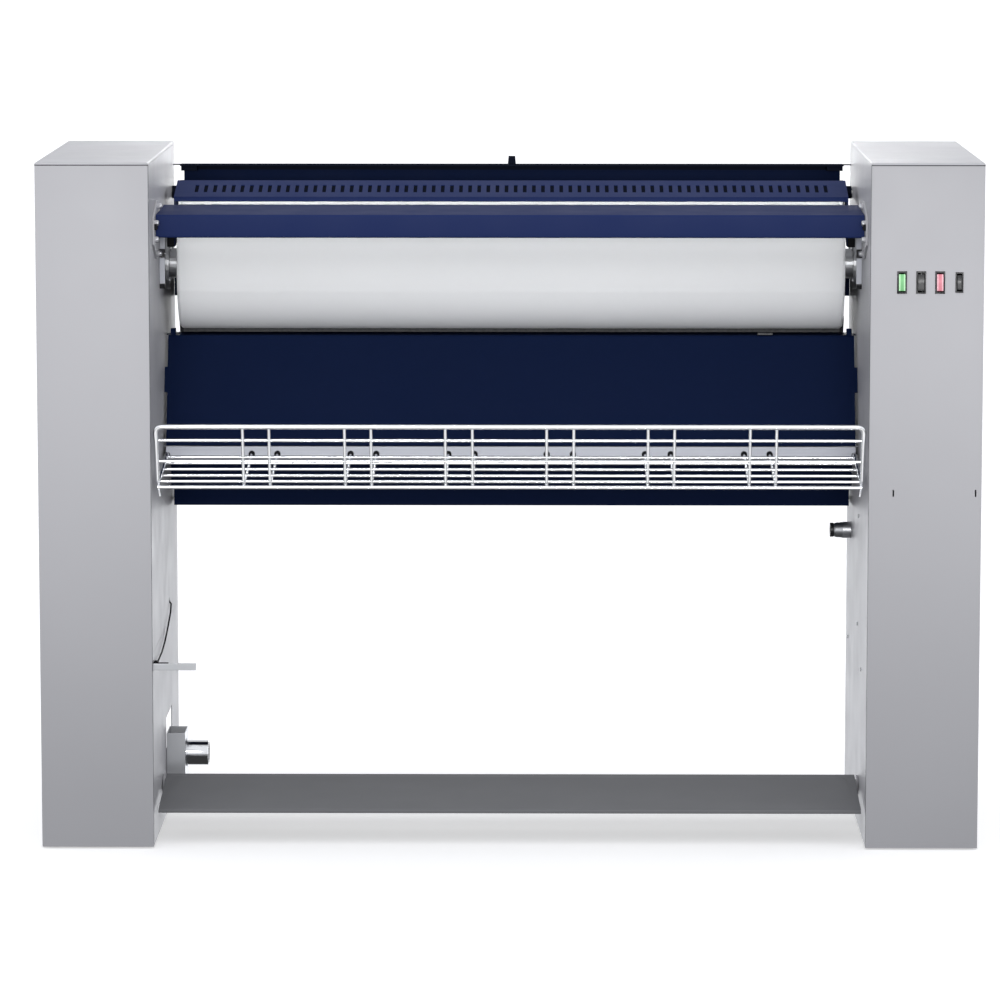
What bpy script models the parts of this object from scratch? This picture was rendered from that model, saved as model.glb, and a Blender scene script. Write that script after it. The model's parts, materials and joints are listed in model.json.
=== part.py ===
"""Flatwork ironer: a padded roll and a heated chest between two sheet-metal pedestals.

Metres, +Z up. X runs to the right as seen from the front, the front faces -Y, and the origin is on the floor
at the middle of the overall box. Profiles are lists of (y, z) points at the middle of the sheet.
"""

import math

import bmesh
import bpy
from mathutils import Matrix, Vector

# Overall box
WIDTH = 1.498
DEPTH = 0.572
HEIGHT = 1.100
CLEARANCE = 0.0003

# Pedestals
OUTER_X = WIDTH / 2
PEDESTAL_WIDTH = 0.179
INNER_X = OUTER_X - PEDESTAL_WIDTH
SWITCH_PROUD = 0.003
FRONT_Y = -DEPTH / 2 + SWITCH_PROUD
BACK_Y = DEPTH / 2
SKIN = 0.0015
PANEL_LOW = 0.003
COVER_EDGE = 0.004
PANEL_TOP = HEIGHT - COVER_EDGE - 0.0006
RETURN_DEPTH = 0.003
SEAM = 0.0006
SERVICE_PANEL_TOP = 0.3145
EDGE_RADIUS = 0.0025
FOOT_HEIGHT = 0.008
TRAY_LOW = 0.010
TRAY_HIGH = 0.050
TRAY_WALL = 0.003

# Roll and its journals
ROLL_Y = 0.104
ROLL_Z = 0.909
ROLL_RADIUS = 0.1085
PADDING = 0.0037
TUBE_WALL = 0.006
ROLL_HALF = 0.5465
JOURNAL_RADIUS = 0.020
BEARING_RADIUS = 0.0315
FLANGE_RADIUS = 0.043
HUB_RADIUS = 0.0245
HUB_X = 0.5485

# Belt drive, in the left pedestal
ROLL_PULLEY_RADIUS = 0.090
MOTOR_PULLEY_RADIUS = 0.030
MOTOR_Y = -0.025
MOTOR_Z = 0.560
PULLEY_X = -0.6675
PULLEY_HALF = 0.0125
BELT_HALF = 0.009
BELT_THICKNESS = 0.005

# Heated chest: its arc centre meets the roll's axis when it is pressed
CHEST_INNER = 0.1093
CHEST_WALL = 0.008
CHEST_LOW = math.radians(-60)
CHEST_HIGH = math.radians(45)
CHEST_OPEN = math.radians(2.4)
PIVOT_Y = 0.228
PIVOT_Z = 1.018
CHEST_SHAFT_RADIUS = 0.009
JACKET_INNER = 0.130
JACKET_OUTER = 0.148
HEATER_PATH = 0.1237
HEATER_RADIUS = 0.0045

# Pedal and the linkage that presses the chest
PEDAL_Y = -0.075
PEDAL_Z = 0.066
PEDAL_SHAFT_RADIUS = 0.009
PRESS_RATIO = 0.3
LEVER_LENGTH = (PIVOT_Y - PEDAL_Y) / (1 + PRESS_RATIO)
CRANK_LENGTH = PRESS_RATIO * LEVER_LENGTH
ROD_Y = PEDAL_Y + CRANK_LENGTH
LINK_X = 0.655
LINK_THICKNESS = 0.010

# Guard
GUARD_FRONT = (0.0325, 1.023)
GUARD_BACK = (0.122, 1.044)
GUARD_HALF = 0.5525
GUARD_PIVOT = (0.110, 0.985)
SLOT_COUNT = 70
SLOT_PITCH = 0.015
SLOT_WIDTH = 0.006
SLOT_LENGTH = 0.040

# Boards, covers and chute
BOARD_HALF = 0.5662
REAR_HALF = 0.552
REAR_Y = 0.2705
CHUTE_HALF = 0.565

# Wire tray
TRAY_HINGE = (-0.0254, 0.606)
RAIL = (-0.281, 0.681)
TRAY_HALF = 0.5605
END_RAIL_BEND = (-0.245, 0.585)
BOTTOM_RAIL = (-0.2497, 0.5805)
FLOOR_FRONT = (-0.249, 0.5815)
FLOOR_BACK = (-0.0219, 0.6062)
CROSS_WIRES = (0.059, 0.102, 0.220, 0.262, 0.382, 0.424)
WIRE = 0.0025

# Rocker switches: middle x, bezel width, bezel height
SWITCH_Z = 0.9115
SWITCHES = (
    ("start_rocker", 0.6195, 0.015, 0.035),
    ("speed_rocker", 0.6495, 0.015, 0.035),
    ("stop_rocker", 0.6795, 0.015, 0.035),
    ("heat_rocker", 0.7100, 0.012, 0.032),
)
BEZEL_WALL = 0.002
ROCKER_PIVOT_Y = FRONT_Y + 0.0085

# Services on the inner faces
BOX_Y = (0.002, 0.069)
BOX_Z = (0.052, 0.137)
BOX_X = 0.539
SPIGOT_Y = 0.036
SPIGOT_Z = 0.099
SPIGOT_RADIUS = 0.021
SPIGOT_END = 0.502
GLAND_Y = 0.179
GLAND_Z = 0.454
LEVER_Y = -0.270
LEVER_Z = 0.2935
LEVER_PIVOT_X = 0.5765

# Turns a flat outline so that its points are world (y, z) and its thickness runs along x
ALONG_X = Matrix(((0, 0, 1, 0), (1, 0, 0, 0), (0, 1, 0, 0), (0, 0, 0, 1)))

for old in list(bpy.data.objects):
    bpy.data.objects.remove(old, do_unlink=True)
PARTS = bpy.data.collections.new("flatwork_ironer")
CUTTERS = bpy.data.collections.new("cutters")
bpy.context.scene.collection.children.link(PARTS)
bpy.context.scene.collection.children.link(CUTTERS)


def material(name, colour, roughness, metallic=0.0):
    mat = bpy.data.materials.new(name)
    mat.use_nodes = True
    shader = mat.node_tree.nodes["Principled BSDF"]
    shader.inputs["Base Color"].default_value = (*colour, 1.0)
    shader.inputs["Roughness"].default_value = roughness
    shader.inputs["Metallic"].default_value = metallic
    mat.diffuse_color = (*colour, 1.0)
    return mat


GREY = ("grey_paint", (0.53, 0.53, 0.56), 0.45)
NAVY = ("navy_paint", (0.020, 0.035, 0.12), 0.45)
DARK_NAVY = ("dark_navy_paint", (0.010, 0.017, 0.050), 0.45)
BLACK = ("black_plastic", (0.02, 0.02, 0.02), 0.5)
ZINC = ("zinc_steel", (0.62, 0.62, 0.63), 0.35, 0.9)
STEEL = ("bare_steel", (0.42, 0.42, 0.43), 0.4, 0.9)
CHROME = ("chrome_wire", (0.80, 0.80, 0.82), 0.15, 1.0)
CLOTH = ("roll_cloth", (0.78, 0.79, 0.81), 0.9)
IRON = ("cast_iron", (0.12, 0.12, 0.13), 0.6, 0.5)
WOOL = ("insulation", (0.55, 0.54, 0.50), 0.9)
RUBBER = ("black_rubber", (0.02, 0.02, 0.02), 0.8)
GREEN = ("green_lens", (0.25, 0.62, 0.28), 0.35)
RED = ("red_lens", (0.72, 0.22, 0.26), 0.35)


def place(obj, look):
    """Links the object into the assembly and gives it its own material."""
    PARTS.objects.link(obj)
    colour = material(obj.name + "_" + look[0], *look[1:])
    obj.data.materials.clear()
    obj.data.materials.append(colour)
    return obj


def mesh_object(name, shape, look):
    mesh = bpy.data.meshes.new(name)
    shape.normal_update()
    shape.to_mesh(mesh)
    shape.free()
    obj = bpy.data.objects.new(name, mesh)
    return place(obj, look) if look else obj


def add_box(shape, low, high):
    """Adds the box between two corners, whichever order they come in."""
    middle = [(a + b) / 2 for a, b in zip(low, high)]
    size = [abs(b - a) for a, b in zip(low, high)]
    bmesh.ops.create_cube(shape, size=1, matrix=Matrix.LocRotScale(Vector(middle), None, Vector(size)))


def box(name, low, high, look=None):
    shape = bmesh.new()
    add_box(shape, low, high)
    return mesh_object(name, shape, look)


def cylinder(name, ends, centre, radius, look=None, axis="X", segments=32):
    """A cylinder along an axis between two values on it, with its centre given on the other two."""
    shape = bmesh.new()
    turn = {
        "X": Matrix.Rotation(math.pi / 2, 4, "Y"),
        "Y": Matrix.Rotation(math.pi / 2, 4, "X"),
        "Z": Matrix.Identity(4),
    }[axis]
    middle = sum(ends) / 2
    spot = {
        "X": (middle, *centre),
        "Y": (centre[0], middle, centre[1]),
        "Z": (*centre, middle),
    }[axis]
    bmesh.ops.create_cone(
        shape,
        cap_ends=True,
        segments=segments,
        radius1=radius,
        radius2=radius,
        depth=abs(ends[1] - ends[0]),
        matrix=Matrix.Translation(spot) @ turn,
    )
    return mesh_object(name, shape, look)


def circle(y, z, radius, count=18):
    return [
        (y + radius * math.cos(2 * math.pi * i / count), z + radius * math.sin(2 * math.pi * i / count))
        for i in range(count)
    ]


def rectangle(low, high):
    return [(low[0], low[1]), (high[0], low[1]), (high[0], high[1]), (low[0], high[1])]


def arc(y, z, radius, start, end, count):
    return [
        (
            y + radius * math.cos(start + (end - start) * i / count),
            z + radius * math.sin(start + (end - start) * i / count),
        )
        for i in range(count + 1)
    ]


def capsule(first, radius, second, second_radius, count=9):
    """The outline of a belt round two circles."""
    across = Vector(second) - Vector(first)
    heading = math.atan2(across.y, across.x)
    lean = math.acos((radius - second_radius) / across.length)
    return arc(*first, radius, heading + lean, heading - lean + 2 * math.pi, count) + arc(
        *second, second_radius, heading - lean, heading + lean, count
    )


def rounded(points, radius, count=4):
    """The path through the points with an arc at each inner corner."""
    path = [Vector(points[0])]
    for before, corner, after in zip(points, points[1:], points[2:]):
        corner = Vector(corner)
        back = (Vector(before) - corner).normalized()
        ahead = (Vector(after) - corner).normalized()
        half = back.angle(ahead) / 2
        shortest = min((Vector(end) - corner).length for end in (before, after))
        inset = min(radius / math.tan(half), shortest / 2)
        for i in range(count + 1):
            t = i / count
            path.append(corner + back * inset * (1 - t) ** 2 + ahead * inset * t**2)
    path.append(Vector(points[-1]))
    return path


def flat(name, outlines, low, high, look=None, frame=ALONG_X, along=(1, 0, 0)):
    """A flat outline with holes, extruded between two values along its normal."""
    curve = bpy.data.curves.new(name, "CURVE")
    curve.dimensions = "2D"
    curve.fill_mode = "BOTH"
    curve.extrude = abs(high - low) / 2
    for outline in outlines:
        spline = curve.splines.new("POLY")
        spline.points.add(len(outline) - 1)
        for point, (a, b) in zip(spline.points, outline):
            point.co = (a, b, 0, 1)
        spline.use_cyclic_u = True
    guide = bpy.data.objects.new(name + "_outline", curve)
    guide.matrix_world = Matrix.Translation(Vector(along) * (low + high) / 2) @ frame
    return as_mesh(guide, name, look)


def as_mesh(guide, name, look=None):
    """The curve object as a welded mesh object, in the curve's place."""
    CUTTERS.objects.link(guide)
    bpy.context.view_layer.update()
    graph = bpy.context.evaluated_depsgraph_get()
    mesh = bpy.data.meshes.new_from_object(guide.evaluated_get(graph))
    mesh.name = name
    mesh.transform(guide.matrix_world)
    shape = bmesh.new()
    shape.from_mesh(mesh)
    bmesh.ops.remove_doubles(shape, verts=shape.verts, dist=1e-6)
    shape.to_mesh(mesh)
    shape.free()
    bpy.data.objects.remove(guide, do_unlink=True)
    obj = bpy.data.objects.new(name, mesh)
    return place(obj, look) if look else obj


def sheet(name, profile, left, right, look=None, thickness=SKIN):
    """Folded sheet: an open surface along X with Solidify."""
    shape = bmesh.new()
    line = [shape.verts.new((left, y, z)) for y, z in profile]
    edges = [shape.edges.new(pair) for pair in zip(line, line[1:])]
    swept = bmesh.ops.extrude_edge_only(shape, edges=edges)
    moved = [piece for piece in swept["geom"] if isinstance(piece, bmesh.types.BMVert)]
    bmesh.ops.translate(shape, verts=moved, vec=(right - left, 0, 0))
    bmesh.ops.recalc_face_normals(shape, faces=shape.faces)
    obj = mesh_object(name, shape, look)
    solid = obj.modifiers.new("Solidify", "SOLIDIFY")
    solid.thickness = thickness
    solid.offset = 0
    solid.use_even_offset = True
    return obj


def turned(name, profile, look=None, steps=32, centre=(ROLL_Y, ROLL_Z), closed=False):
    """A piece turned round an axis along X. Its profile is (x, radius) pairs."""
    shape = bmesh.new()
    points = [shape.verts.new((radius, 0, x)) for x, radius in profile]
    for pair in zip(points, points[1:]):
        shape.edges.new(pair)
    if closed:
        shape.edges.new((points[-1], points[0]))
    obj = mesh_object(name, shape, look)
    obj.matrix_world = Matrix.Translation((0, *centre)) @ ALONG_X
    screw = obj.modifiers.new("Screw", "SCREW")
    screw.steps = steps
    screw.render_steps = steps
    screw.use_merge_vertices = True
    screw.merge_threshold = 0.00005
    screw.use_smooth_shade = True
    return obj


def tube(name, path, radius, look=None, sides=1, closed=False):
    """A round wire along 3D points, as a mesh with welded caps."""
    curve = bpy.data.curves.new(name, "CURVE")
    curve.dimensions = "3D"
    curve.bevel_depth = radius
    curve.bevel_resolution = sides
    curve.use_fill_caps = True
    spline = curve.splines.new("POLY")
    spline.points.add(len(path) - 1)
    for point, spot in zip(spline.points, path):
        point.co = (*spot, 1)
    spline.use_cyclic_u = closed
    return as_mesh(bpy.data.objects.new(name + "_path", curve), name, look)


def boolean(obj, operation, tools, solver="EXACT"):
    """Cuts each tool from the object, or joins it on. The tools stay hidden."""
    for tool in tools:
        CUTTERS.objects.link(tool)
        tool.hide_render = True
        tool.display_type = "WIRE"
        step = obj.modifiers.new(operation.title(), "BOOLEAN")
        step.operation = operation
        step.object = tool
        step.solver = solver
    return obj


def cut(obj, *tools):
    return boolean(obj, "DIFFERENCE", tools)


def join(obj, *tools):
    return boolean(obj, "UNION", tools)


def set_origin(obj, spot):
    """Moves the object's origin onto its joint axis without moving its shape."""
    shift = obj.matrix_world.inverted() @ Vector(spot)
    obj.data.transform(Matrix.Translation(-shift))
    obj.matrix_world = Matrix.Translation(obj.matrix_world.to_3x3() @ shift) @ obj.matrix_world
    return obj


def both_sides(make):
    """Runs a piece's function for the left (-1) and the right (+1) pedestal."""
    for side, word in ((-1, "left"), (1, "right")):
        make(side, word)


# Pedestal shells


def wrap_outline(side, front):
    """Plan of a front or back panel: a flat face with rounded edges and short returns."""
    face = FRONT_Y if front else BACK_Y
    inward = 1 if front else -1
    near, far = side * INNER_X, side * OUTER_X
    outer = rounded(
        [
            (near, face + inward * RETURN_DEPTH),
            (near, face),
            (far, face),
            (far, face + inward * RETURN_DEPTH),
        ],
        EDGE_RADIUS,
        3,
    )
    toward = side * SKIN
    inner = [
        (far - toward, face + inward * RETURN_DEPTH),
        (far - toward, face + inward * SKIN),
        (near + toward, face + inward * SKIN),
        (near + toward, face + inward * RETURN_DEPTH),
    ]
    return [tuple(point) for point in outer] + inner


def upright(name, outline, look=GREY):
    """A plan outline extruded up the height of the panels."""
    return flat(name, [outline], PANEL_LOW, PANEL_TOP, look, Matrix.Identity(4), (0, 0, 1))


def front_panel(side, word):
    panel = upright(word + "_front_panel", wrap_outline(side, True))
    if side < 0:
        return
    openings = [
        box(
            "cut_" + name,
            (x - width / 2 - CLEARANCE, FRONT_Y - 0.01, SWITCH_Z - height / 2 - CLEARANCE),
            (x + width / 2 + CLEARANCE, FRONT_Y + 0.01, SWITCH_Z + height / 2 + CLEARANCE),
        )
        for name, x, width, height in SWITCHES
    ]
    slots = [
        box("cut_panel_slot", (x - 0.0012, FRONT_Y - 0.01, 0.5705), (x + 0.0012, FRONT_Y + 0.01, 0.5815))
        for x in (0.609, 0.7395)
    ]
    cut(panel, *openings, *slots)


def back_panel(side, word):
    panel = upright(word + "_back_panel", wrap_outline(side, False))
    if side < 0:
        low = (-0.705, BACK_Y - 0.0127, 0.0605)
        duct_way = box("cut_duct_way", low, (-0.5752, BACK_Y + 0.0113, 0.1907))
        boolean(panel, "DIFFERENCE", [duct_way], "MANIFOLD")


def side_panels(side, word):
    """The inner and outer side panels. The left inner one has a separate service panel below it."""
    low = FRONT_Y + RETURN_DEPTH + SEAM
    high = BACK_Y - RETURN_DEPTH - SEAM
    whole = rectangle((low, PANEL_LOW), (high, PANEL_TOP))
    upper_holes = [
        circle(ROLL_Y, ROLL_Z, BEARING_RADIUS + 2 * CLEARANCE, 36),
        circle(PIVOT_Y, PIVOT_Z, CHEST_SHAFT_RADIUS + 2 * CLEARANCE),
        circle(*GUARD_PIVOT, 0.0056),
    ]
    pedal_hole = circle(PEDAL_Y, PEDAL_Z, PEDAL_SHAFT_RADIUS + 2 * CLEARANCE)
    faces = (side * INNER_X, side * (INNER_X + SKIN), GREY)
    if side < 0:
        lower = rectangle((low, PANEL_LOW), (high, SERVICE_PANEL_TOP))
        upper = rectangle((low, SERVICE_PANEL_TOP + SEAM), (high, PANEL_TOP))
        duct_hole = rectangle((0.0, 0.060), (0.130, 0.163))
        lever_slot = rectangle(
            (LEVER_Y - 0.0035, LEVER_Z - 0.0085),
            (LEVER_Y + 0.0035, LEVER_Z + 0.0075),
        )
        cable_hole = circle(0.0983, 0.3445, 0.0055)
        flat("left_inner_panel", [upper, *upper_holes, cable_hole], *faces)
        flat("left_service_panel", [lower, pedal_hole, duct_hole, lever_slot], *faces)
    else:
        gland_hole = circle(GLAND_Y, GLAND_Z, 0.0106)
        flat("right_inner_panel", [whole, *upper_holes, pedal_hole, gland_hole], *faces)
    flat(word + "_outer_panel", [whole], side * (OUTER_X - SKIN), side * OUTER_X, GREY)


def top_cover(side, word):
    """A shallow lid: an open box with rounded edges and a wall turned inwards."""
    shape = bmesh.new()
    add_box(shape, (side * INNER_X, FRONT_Y, HEIGHT - COVER_EDGE), (side * OUTER_X, BACK_Y, HEIGHT))
    shape.faces.ensure_lookup_table()
    under = [face for face in shape.faces if face.normal.z < -0.5]
    bmesh.ops.delete(shape, geom=under, context="FACES_ONLY")
    cover = mesh_object(word + "_top_cover", shape, GREY)
    bevel = cover.modifiers.new("Bevel", "BEVEL")
    bevel.width = EDGE_RADIUS
    bevel.segments = 3
    bevel.limit_method = "ANGLE"
    solid = cover.modifiers.new("Solidify", "SOLIDIFY")
    solid.thickness = SKIN
    solid.offset = -1


def base_frame(side, word):
    """Welded base: an open tray, a lug for the pedal shaft and the post with the bearing plate."""
    shape = bmesh.new()
    add_box(shape, (side * 0.573, -0.276, TRAY_LOW), (side * 0.746, 0.279, TRAY_HIGH))
    shape.faces.ensure_lookup_table()
    lid = [face for face in shape.faces if face.normal.z > 0.5]
    bmesh.ops.delete(shape, geom=lid, context="FACES_ONLY")
    frame = mesh_object(word + "_base_frame", shape, STEEL)
    solid = frame.modifiers.new("Solidify", "SOLIDIFY")
    solid.thickness = TRAY_WALL
    solid.offset = -1
    solid.use_even_offset = True
    bore = circle(ROLL_Y, ROLL_Z, BEARING_RADIUS + 2 * CLEARANCE, 36)
    plate = rectangle((ROLL_Y - 0.060, ROLL_Z - 0.070), (ROLL_Y + 0.060, ROLL_Z + 0.060))
    lug = rectangle((PEDAL_Y - 0.020, TRAY_LOW + 0.001), (PEDAL_Y + 0.020, PEDAL_Z + 0.020))
    join(
        frame,
        box("join_post", (side * 0.600, 0.084, TRAY_LOW + 0.001), (side * 0.640, 0.124, 0.860)),
        flat("join_bearing_plate", [plate, bore], side * 0.5995, side * 0.6075),
        flat(
            "join_pedal_lug",
            [lug, circle(PEDAL_Y, PEDAL_Z, PEDAL_SHAFT_RADIUS + CLEARANCE)],
            side * 0.6005,
            side * 0.6145,
        ),
    )
    cut(
        frame,
        *[
            cylinder("cut_foot_hole", (0, 0.030), (side * 0.6595, y), 0.0054, axis="Z", segments=16)
            for y in (-0.235, 0.240)
        ],
    )


def feet(side, word):
    """Levelling feet: a rubber-soled pad with a threaded stud up through the base."""
    for place_word, y in (("front", -0.235), ("rear", 0.240)):
        foot = cylinder(
            f"{word}_{place_word}_foot", (0, FOOT_HEIGHT), (side * 0.6595, y), 0.020, RUBBER, "Z", 24
        )
        stud = cylinder("join_stud", (0.004, 0.040), (side * 0.6595, y), 0.005, axis="Z", segments=16)
        join(foot, stud)


for build in (front_panel, back_panel, side_panels, top_cover, base_frame, feet):
    both_sides(build)

# Roll, journals and bearings

tube_radius = ROLL_RADIUS - PADDING
tube_bore = tube_radius - TUBE_WALL
turned(
    "roll_tube",
    [(0.545, tube_radius), (-0.545, tube_radius), (-0.545, tube_bore), (0.545, tube_bore)],
    STEEL,
    closed=True,
)
turned(
    "roll_padding",
    [
        (ROLL_HALF, ROLL_RADIUS - 0.002),
        (ROLL_HALF - 0.002, ROLL_RADIUS),
        (-ROLL_HALF + 0.002, ROLL_RADIUS),
        (-ROLL_HALF, ROLL_RADIUS - 0.002),
        (-ROLL_HALF, tube_radius + CLEARANCE),
        (ROLL_HALF, tube_radius + CLEARANCE),
    ],
    CLOTH,
    closed=True,
)
disc_radius = tube_bore - CLEARANCE
turned(
    "right_journal",
    [
        (0.630, 0),
        (0.630, JOURNAL_RADIUS),
        (0.542, JOURNAL_RADIUS),
        (0.542, disc_radius),
        (0.530, disc_radius),
        (0.530, 0),
    ],
    ZINC,
)
turned(
    "left_journal",
    [
        (-0.530, 0),
        (-0.530, disc_radius),
        (-0.542, disc_radius),
        (-0.542, JOURNAL_RADIUS),
        (-0.690, JOURNAL_RADIUS),
        (-0.690, 0),
    ],
    ZINC,
)
bearing_bore = JOURNAL_RADIUS + CLEARANCE
panel_face = INNER_X - CLEARANCE
turned(
    "right_bearing",
    [
        (0.612, bearing_bore),
        (0.612, BEARING_RADIUS),
        (panel_face, BEARING_RADIUS),
        (panel_face, FLANGE_RADIUS),
        (0.564, FLANGE_RADIUS),
        (0.564, HUB_RADIUS),
        (HUB_X, HUB_RADIUS),
        (HUB_X, bearing_bore),
    ],
    ZINC,
    closed=True,
)
turned(
    "left_bearing",
    [
        (-HUB_X, bearing_bore),
        (-HUB_X, HUB_RADIUS),
        (-0.564, HUB_RADIUS),
        (-0.564, FLANGE_RADIUS),
        (-panel_face, FLANGE_RADIUS),
        (-panel_face, BEARING_RADIUS),
        (-0.612, BEARING_RADIUS),
        (-0.612, bearing_bore),
    ],
    ZINC,
    closed=True,
)

# Belt drive


def pulley(name, radius, bore, centre):
    """A pulley with two rims that keep the belt on."""
    rim = radius + 0.006
    web = BELT_HALF + 0.0006
    turned(
        name,
        [
            (PULLEY_X + PULLEY_HALF, bore),
            (PULLEY_X + PULLEY_HALF, rim),
            (PULLEY_X + web, rim),
            (PULLEY_X + web, radius),
            (PULLEY_X - web, radius),
            (PULLEY_X - web, rim),
            (PULLEY_X - PULLEY_HALF, rim),
            (PULLEY_X - PULLEY_HALF, bore),
        ],
        IRON,
        steps=28,
        centre=centre,
        closed=True,
    )


pulley("roll_pulley", ROLL_PULLEY_RADIUS, bearing_bore, (ROLL_Y, ROLL_Z))
pulley("motor_pulley", MOTOR_PULLEY_RADIUS, 0.0128, (MOTOR_Y, MOTOR_Z))


def belt_loop(reach):
    """The loop that runs a distance outside both pulleys."""
    top, bottom = (ROLL_Y, ROLL_Z), (MOTOR_Y, MOTOR_Z)
    return capsule(top, ROLL_PULLEY_RADIUS + reach, bottom, MOTOR_PULLEY_RADIUS + reach, 24)


flat(
    "drive_belt",
    [belt_loop(CLEARANCE + BELT_THICKNESS), belt_loop(CLEARANCE)],
    PULLEY_X - BELT_HALF,
    PULLEY_X + BELT_HALF,
    RUBBER,
)
gearmotor = box("gearmotor", (-0.645, -0.085, 0.500), (-0.585, 0.035, 0.620), IRON)
join(
    gearmotor,
    cylinder("join_motor", (0.300, 0.505), (-0.640, -0.025), 0.050, axis="Z"),
    cylinder("join_output_shaft", (-0.690, -0.640), (MOTOR_Y, MOTOR_Z), 0.0125, segments=24),
    box("join_motor_bracket", (-0.638, 0.030, 0.520), (-0.602, 0.084 - CLEARANCE, 0.600)),
)

# Heated chest, modelled pressed against the roll and then swung open to its rest place


def swing_open(obj):
    pivot = Matrix.Translation((0, PIVOT_Y, PIVOT_Z))
    turn = pivot @ Matrix.Rotation(CHEST_OPEN, 4, "X") @ pivot.inverted()
    obj.data.transform(turn)
    return obj


def sector(inner, outer, start, end, count=14):
    return arc(ROLL_Y, ROLL_Z, outer, start, end, count) + arc(ROLL_Y, ROLL_Z, inner, end, start, count)


def heated_chest():
    """The trough and its end plates, each with an ear that hangs on the pivot shaft."""
    bend = arc(ROLL_Y, ROLL_Z, CHEST_INNER + CHEST_WALL / 2, CHEST_LOW, CHEST_HIGH, 18)
    plate_in, plate_out = 0.549, 0.555
    middle = (plate_in + plate_out) / 2 + 0.0003
    chest = swing_open(sheet("heated_chest", bend, -middle, middle, IRON, CHEST_WALL))
    outline = (
        arc(ROLL_Y, ROLL_Z, JACKET_OUTER, CHEST_LOW + 0.011, math.radians(28), 16)
        + arc(PIVOT_Y, PIVOT_Z, 0.020, math.radians(-20), math.radians(150), 12)
        + arc(ROLL_Y, ROLL_Z, CHEST_INNER + 0.0023, CHEST_HIGH - 0.01, CHEST_LOW + 0.011, 17)
    )
    shaft_hole = circle(PIVOT_Y, PIVOT_Z, CHEST_SHAFT_RADIUS + CLEARANCE)
    for side in (-1, 1):
        plate = flat("join_end_plate", [outline, shaft_hole], side * plate_in, side * plate_out)
        join(chest, swing_open(plate))
    set_origin(chest, (0, PIVOT_Y, PIVOT_Z))


def chest_jacket():
    outline = sector(JACKET_INNER, JACKET_OUTER - 0.001, math.radians(-58), math.radians(27))
    jacket = swing_open(flat("chest_jacket", [outline], -0.5487, 0.5487, WOOL))
    set_origin(jacket, (0, PIVOT_Y, PIVOT_Z))


def heating_element():
    """One tubular heater in four runs along the back of the trough."""
    spacing = math.radians(22)
    bend = HEATER_PATH * spacing / 2
    start = math.radians(-48)
    end_x = 0.500
    path = []
    for run in range(4):
        angle = start + run * spacing
        heading = 1 if run % 2 == 0 else -1
        path.append((-heading * end_x, angle))
        path.append((heading * end_x, angle))
        if run < 3:
            for i in range(1, 6):
                turn = math.pi * i / 6
                reach = end_x + bend * math.sin(turn)
                path.append((heading * reach, angle + spacing / 2 * (1 - math.cos(turn))))
    spots = [
        (x, ROLL_Y + HEATER_PATH * math.cos(angle), ROLL_Z + HEATER_PATH * math.sin(angle))
        for x, angle in path
    ]
    element = swing_open(tube("heating_element", spots, HEATER_RADIUS, STEEL))
    set_origin(element, (0, PIVOT_Y, PIVOT_Z))


heated_chest()
chest_jacket()
heating_element()
chest_pivot = (PIVOT_Y, PIVOT_Z)
shaft = cylinder("chest_shaft", (-0.590, 0.700), chest_pivot, CHEST_SHAFT_RADIUS, STEEL, segments=24)
set_origin(shaft, (0, *chest_pivot))
lever = flat(
    "chest_lever",
    [
        capsule(chest_pivot, 0.020, (ROD_Y, PIVOT_Z), 0.014),
        circle(*chest_pivot, CHEST_SHAFT_RADIUS + CLEARANCE),
        circle(ROD_Y, PIVOT_Z, 0.0066),
    ],
    LINK_X,
    LINK_X + LINK_THICKNESS,
    STEEL,
)
set_origin(lever, (0, *chest_pivot))

# Pedal, its shaft and the press rod


def pedal_board():
    """A sheet tread with a turned-down lip, and the hangers that clamp it to the shaft."""
    profile = rounded([(-0.2452, 0.0512), (-0.2452, 0.0567), (-0.061, 0.0802)], 0.002, 3)
    board = sheet("pedal_board", profile, -CHUTE_HALF, CHUTE_HALF, GREY, 0.0016)
    hanger = [
        circle(PEDAL_Y, PEDAL_Z, 0.0136, 14),
        circle(PEDAL_Y, PEDAL_Z, PEDAL_SHAFT_RADIUS + 2 * CLEARANCE, 14),
    ]
    join(board, *[flat("join_hanger", hanger, x - 0.008, x + 0.008) for x in (-0.540, 0, 0.540)])
    set_origin(board, (0, PEDAL_Y, PEDAL_Z))


def pedal_shaft():
    pivot = (PEDAL_Y, PEDAL_Z)
    bar = cylinder("pedal_shaft", (-0.640, 0.700), pivot, PEDAL_SHAFT_RADIUS, STEEL, segments=24)
    crank = [capsule(pivot, 0.016, (ROD_Y, PEDAL_Z), 0.013), circle(ROD_Y, PEDAL_Z, 0.0072)]
    join(bar, flat("join_crank", crank, LINK_X, LINK_X + LINK_THICKNESS))
    set_origin(bar, (0, *pivot))


def pedal_spring():
    """A torsion spring that lifts the pedal. The least gap between its turns is printed."""
    turns = 6
    steps = 10
    wire = 0.0013
    pitch = 0.0042
    start = 0.618
    coil = PEDAL_SHAFT_RADIUS + 0.0035
    path = [
        (
            start + pitch * i / steps,
            PEDAL_Y + coil * math.cos(2 * math.pi * i / steps),
            PEDAL_Z + coil * math.sin(2 * math.pi * i / steps),
        )
        for i in range(turns * steps + 1)
    ]
    gap = min(
        (Vector(a) - Vector(b)).length - 2 * wire
        for i, a in enumerate(path)
        for b in path[i + steps // 2 :]
    )
    print(f"pedal_spring: least gap {gap * 1000:.2f} mm")
    tube("pedal_spring", path, wire, STEEL)


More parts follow.
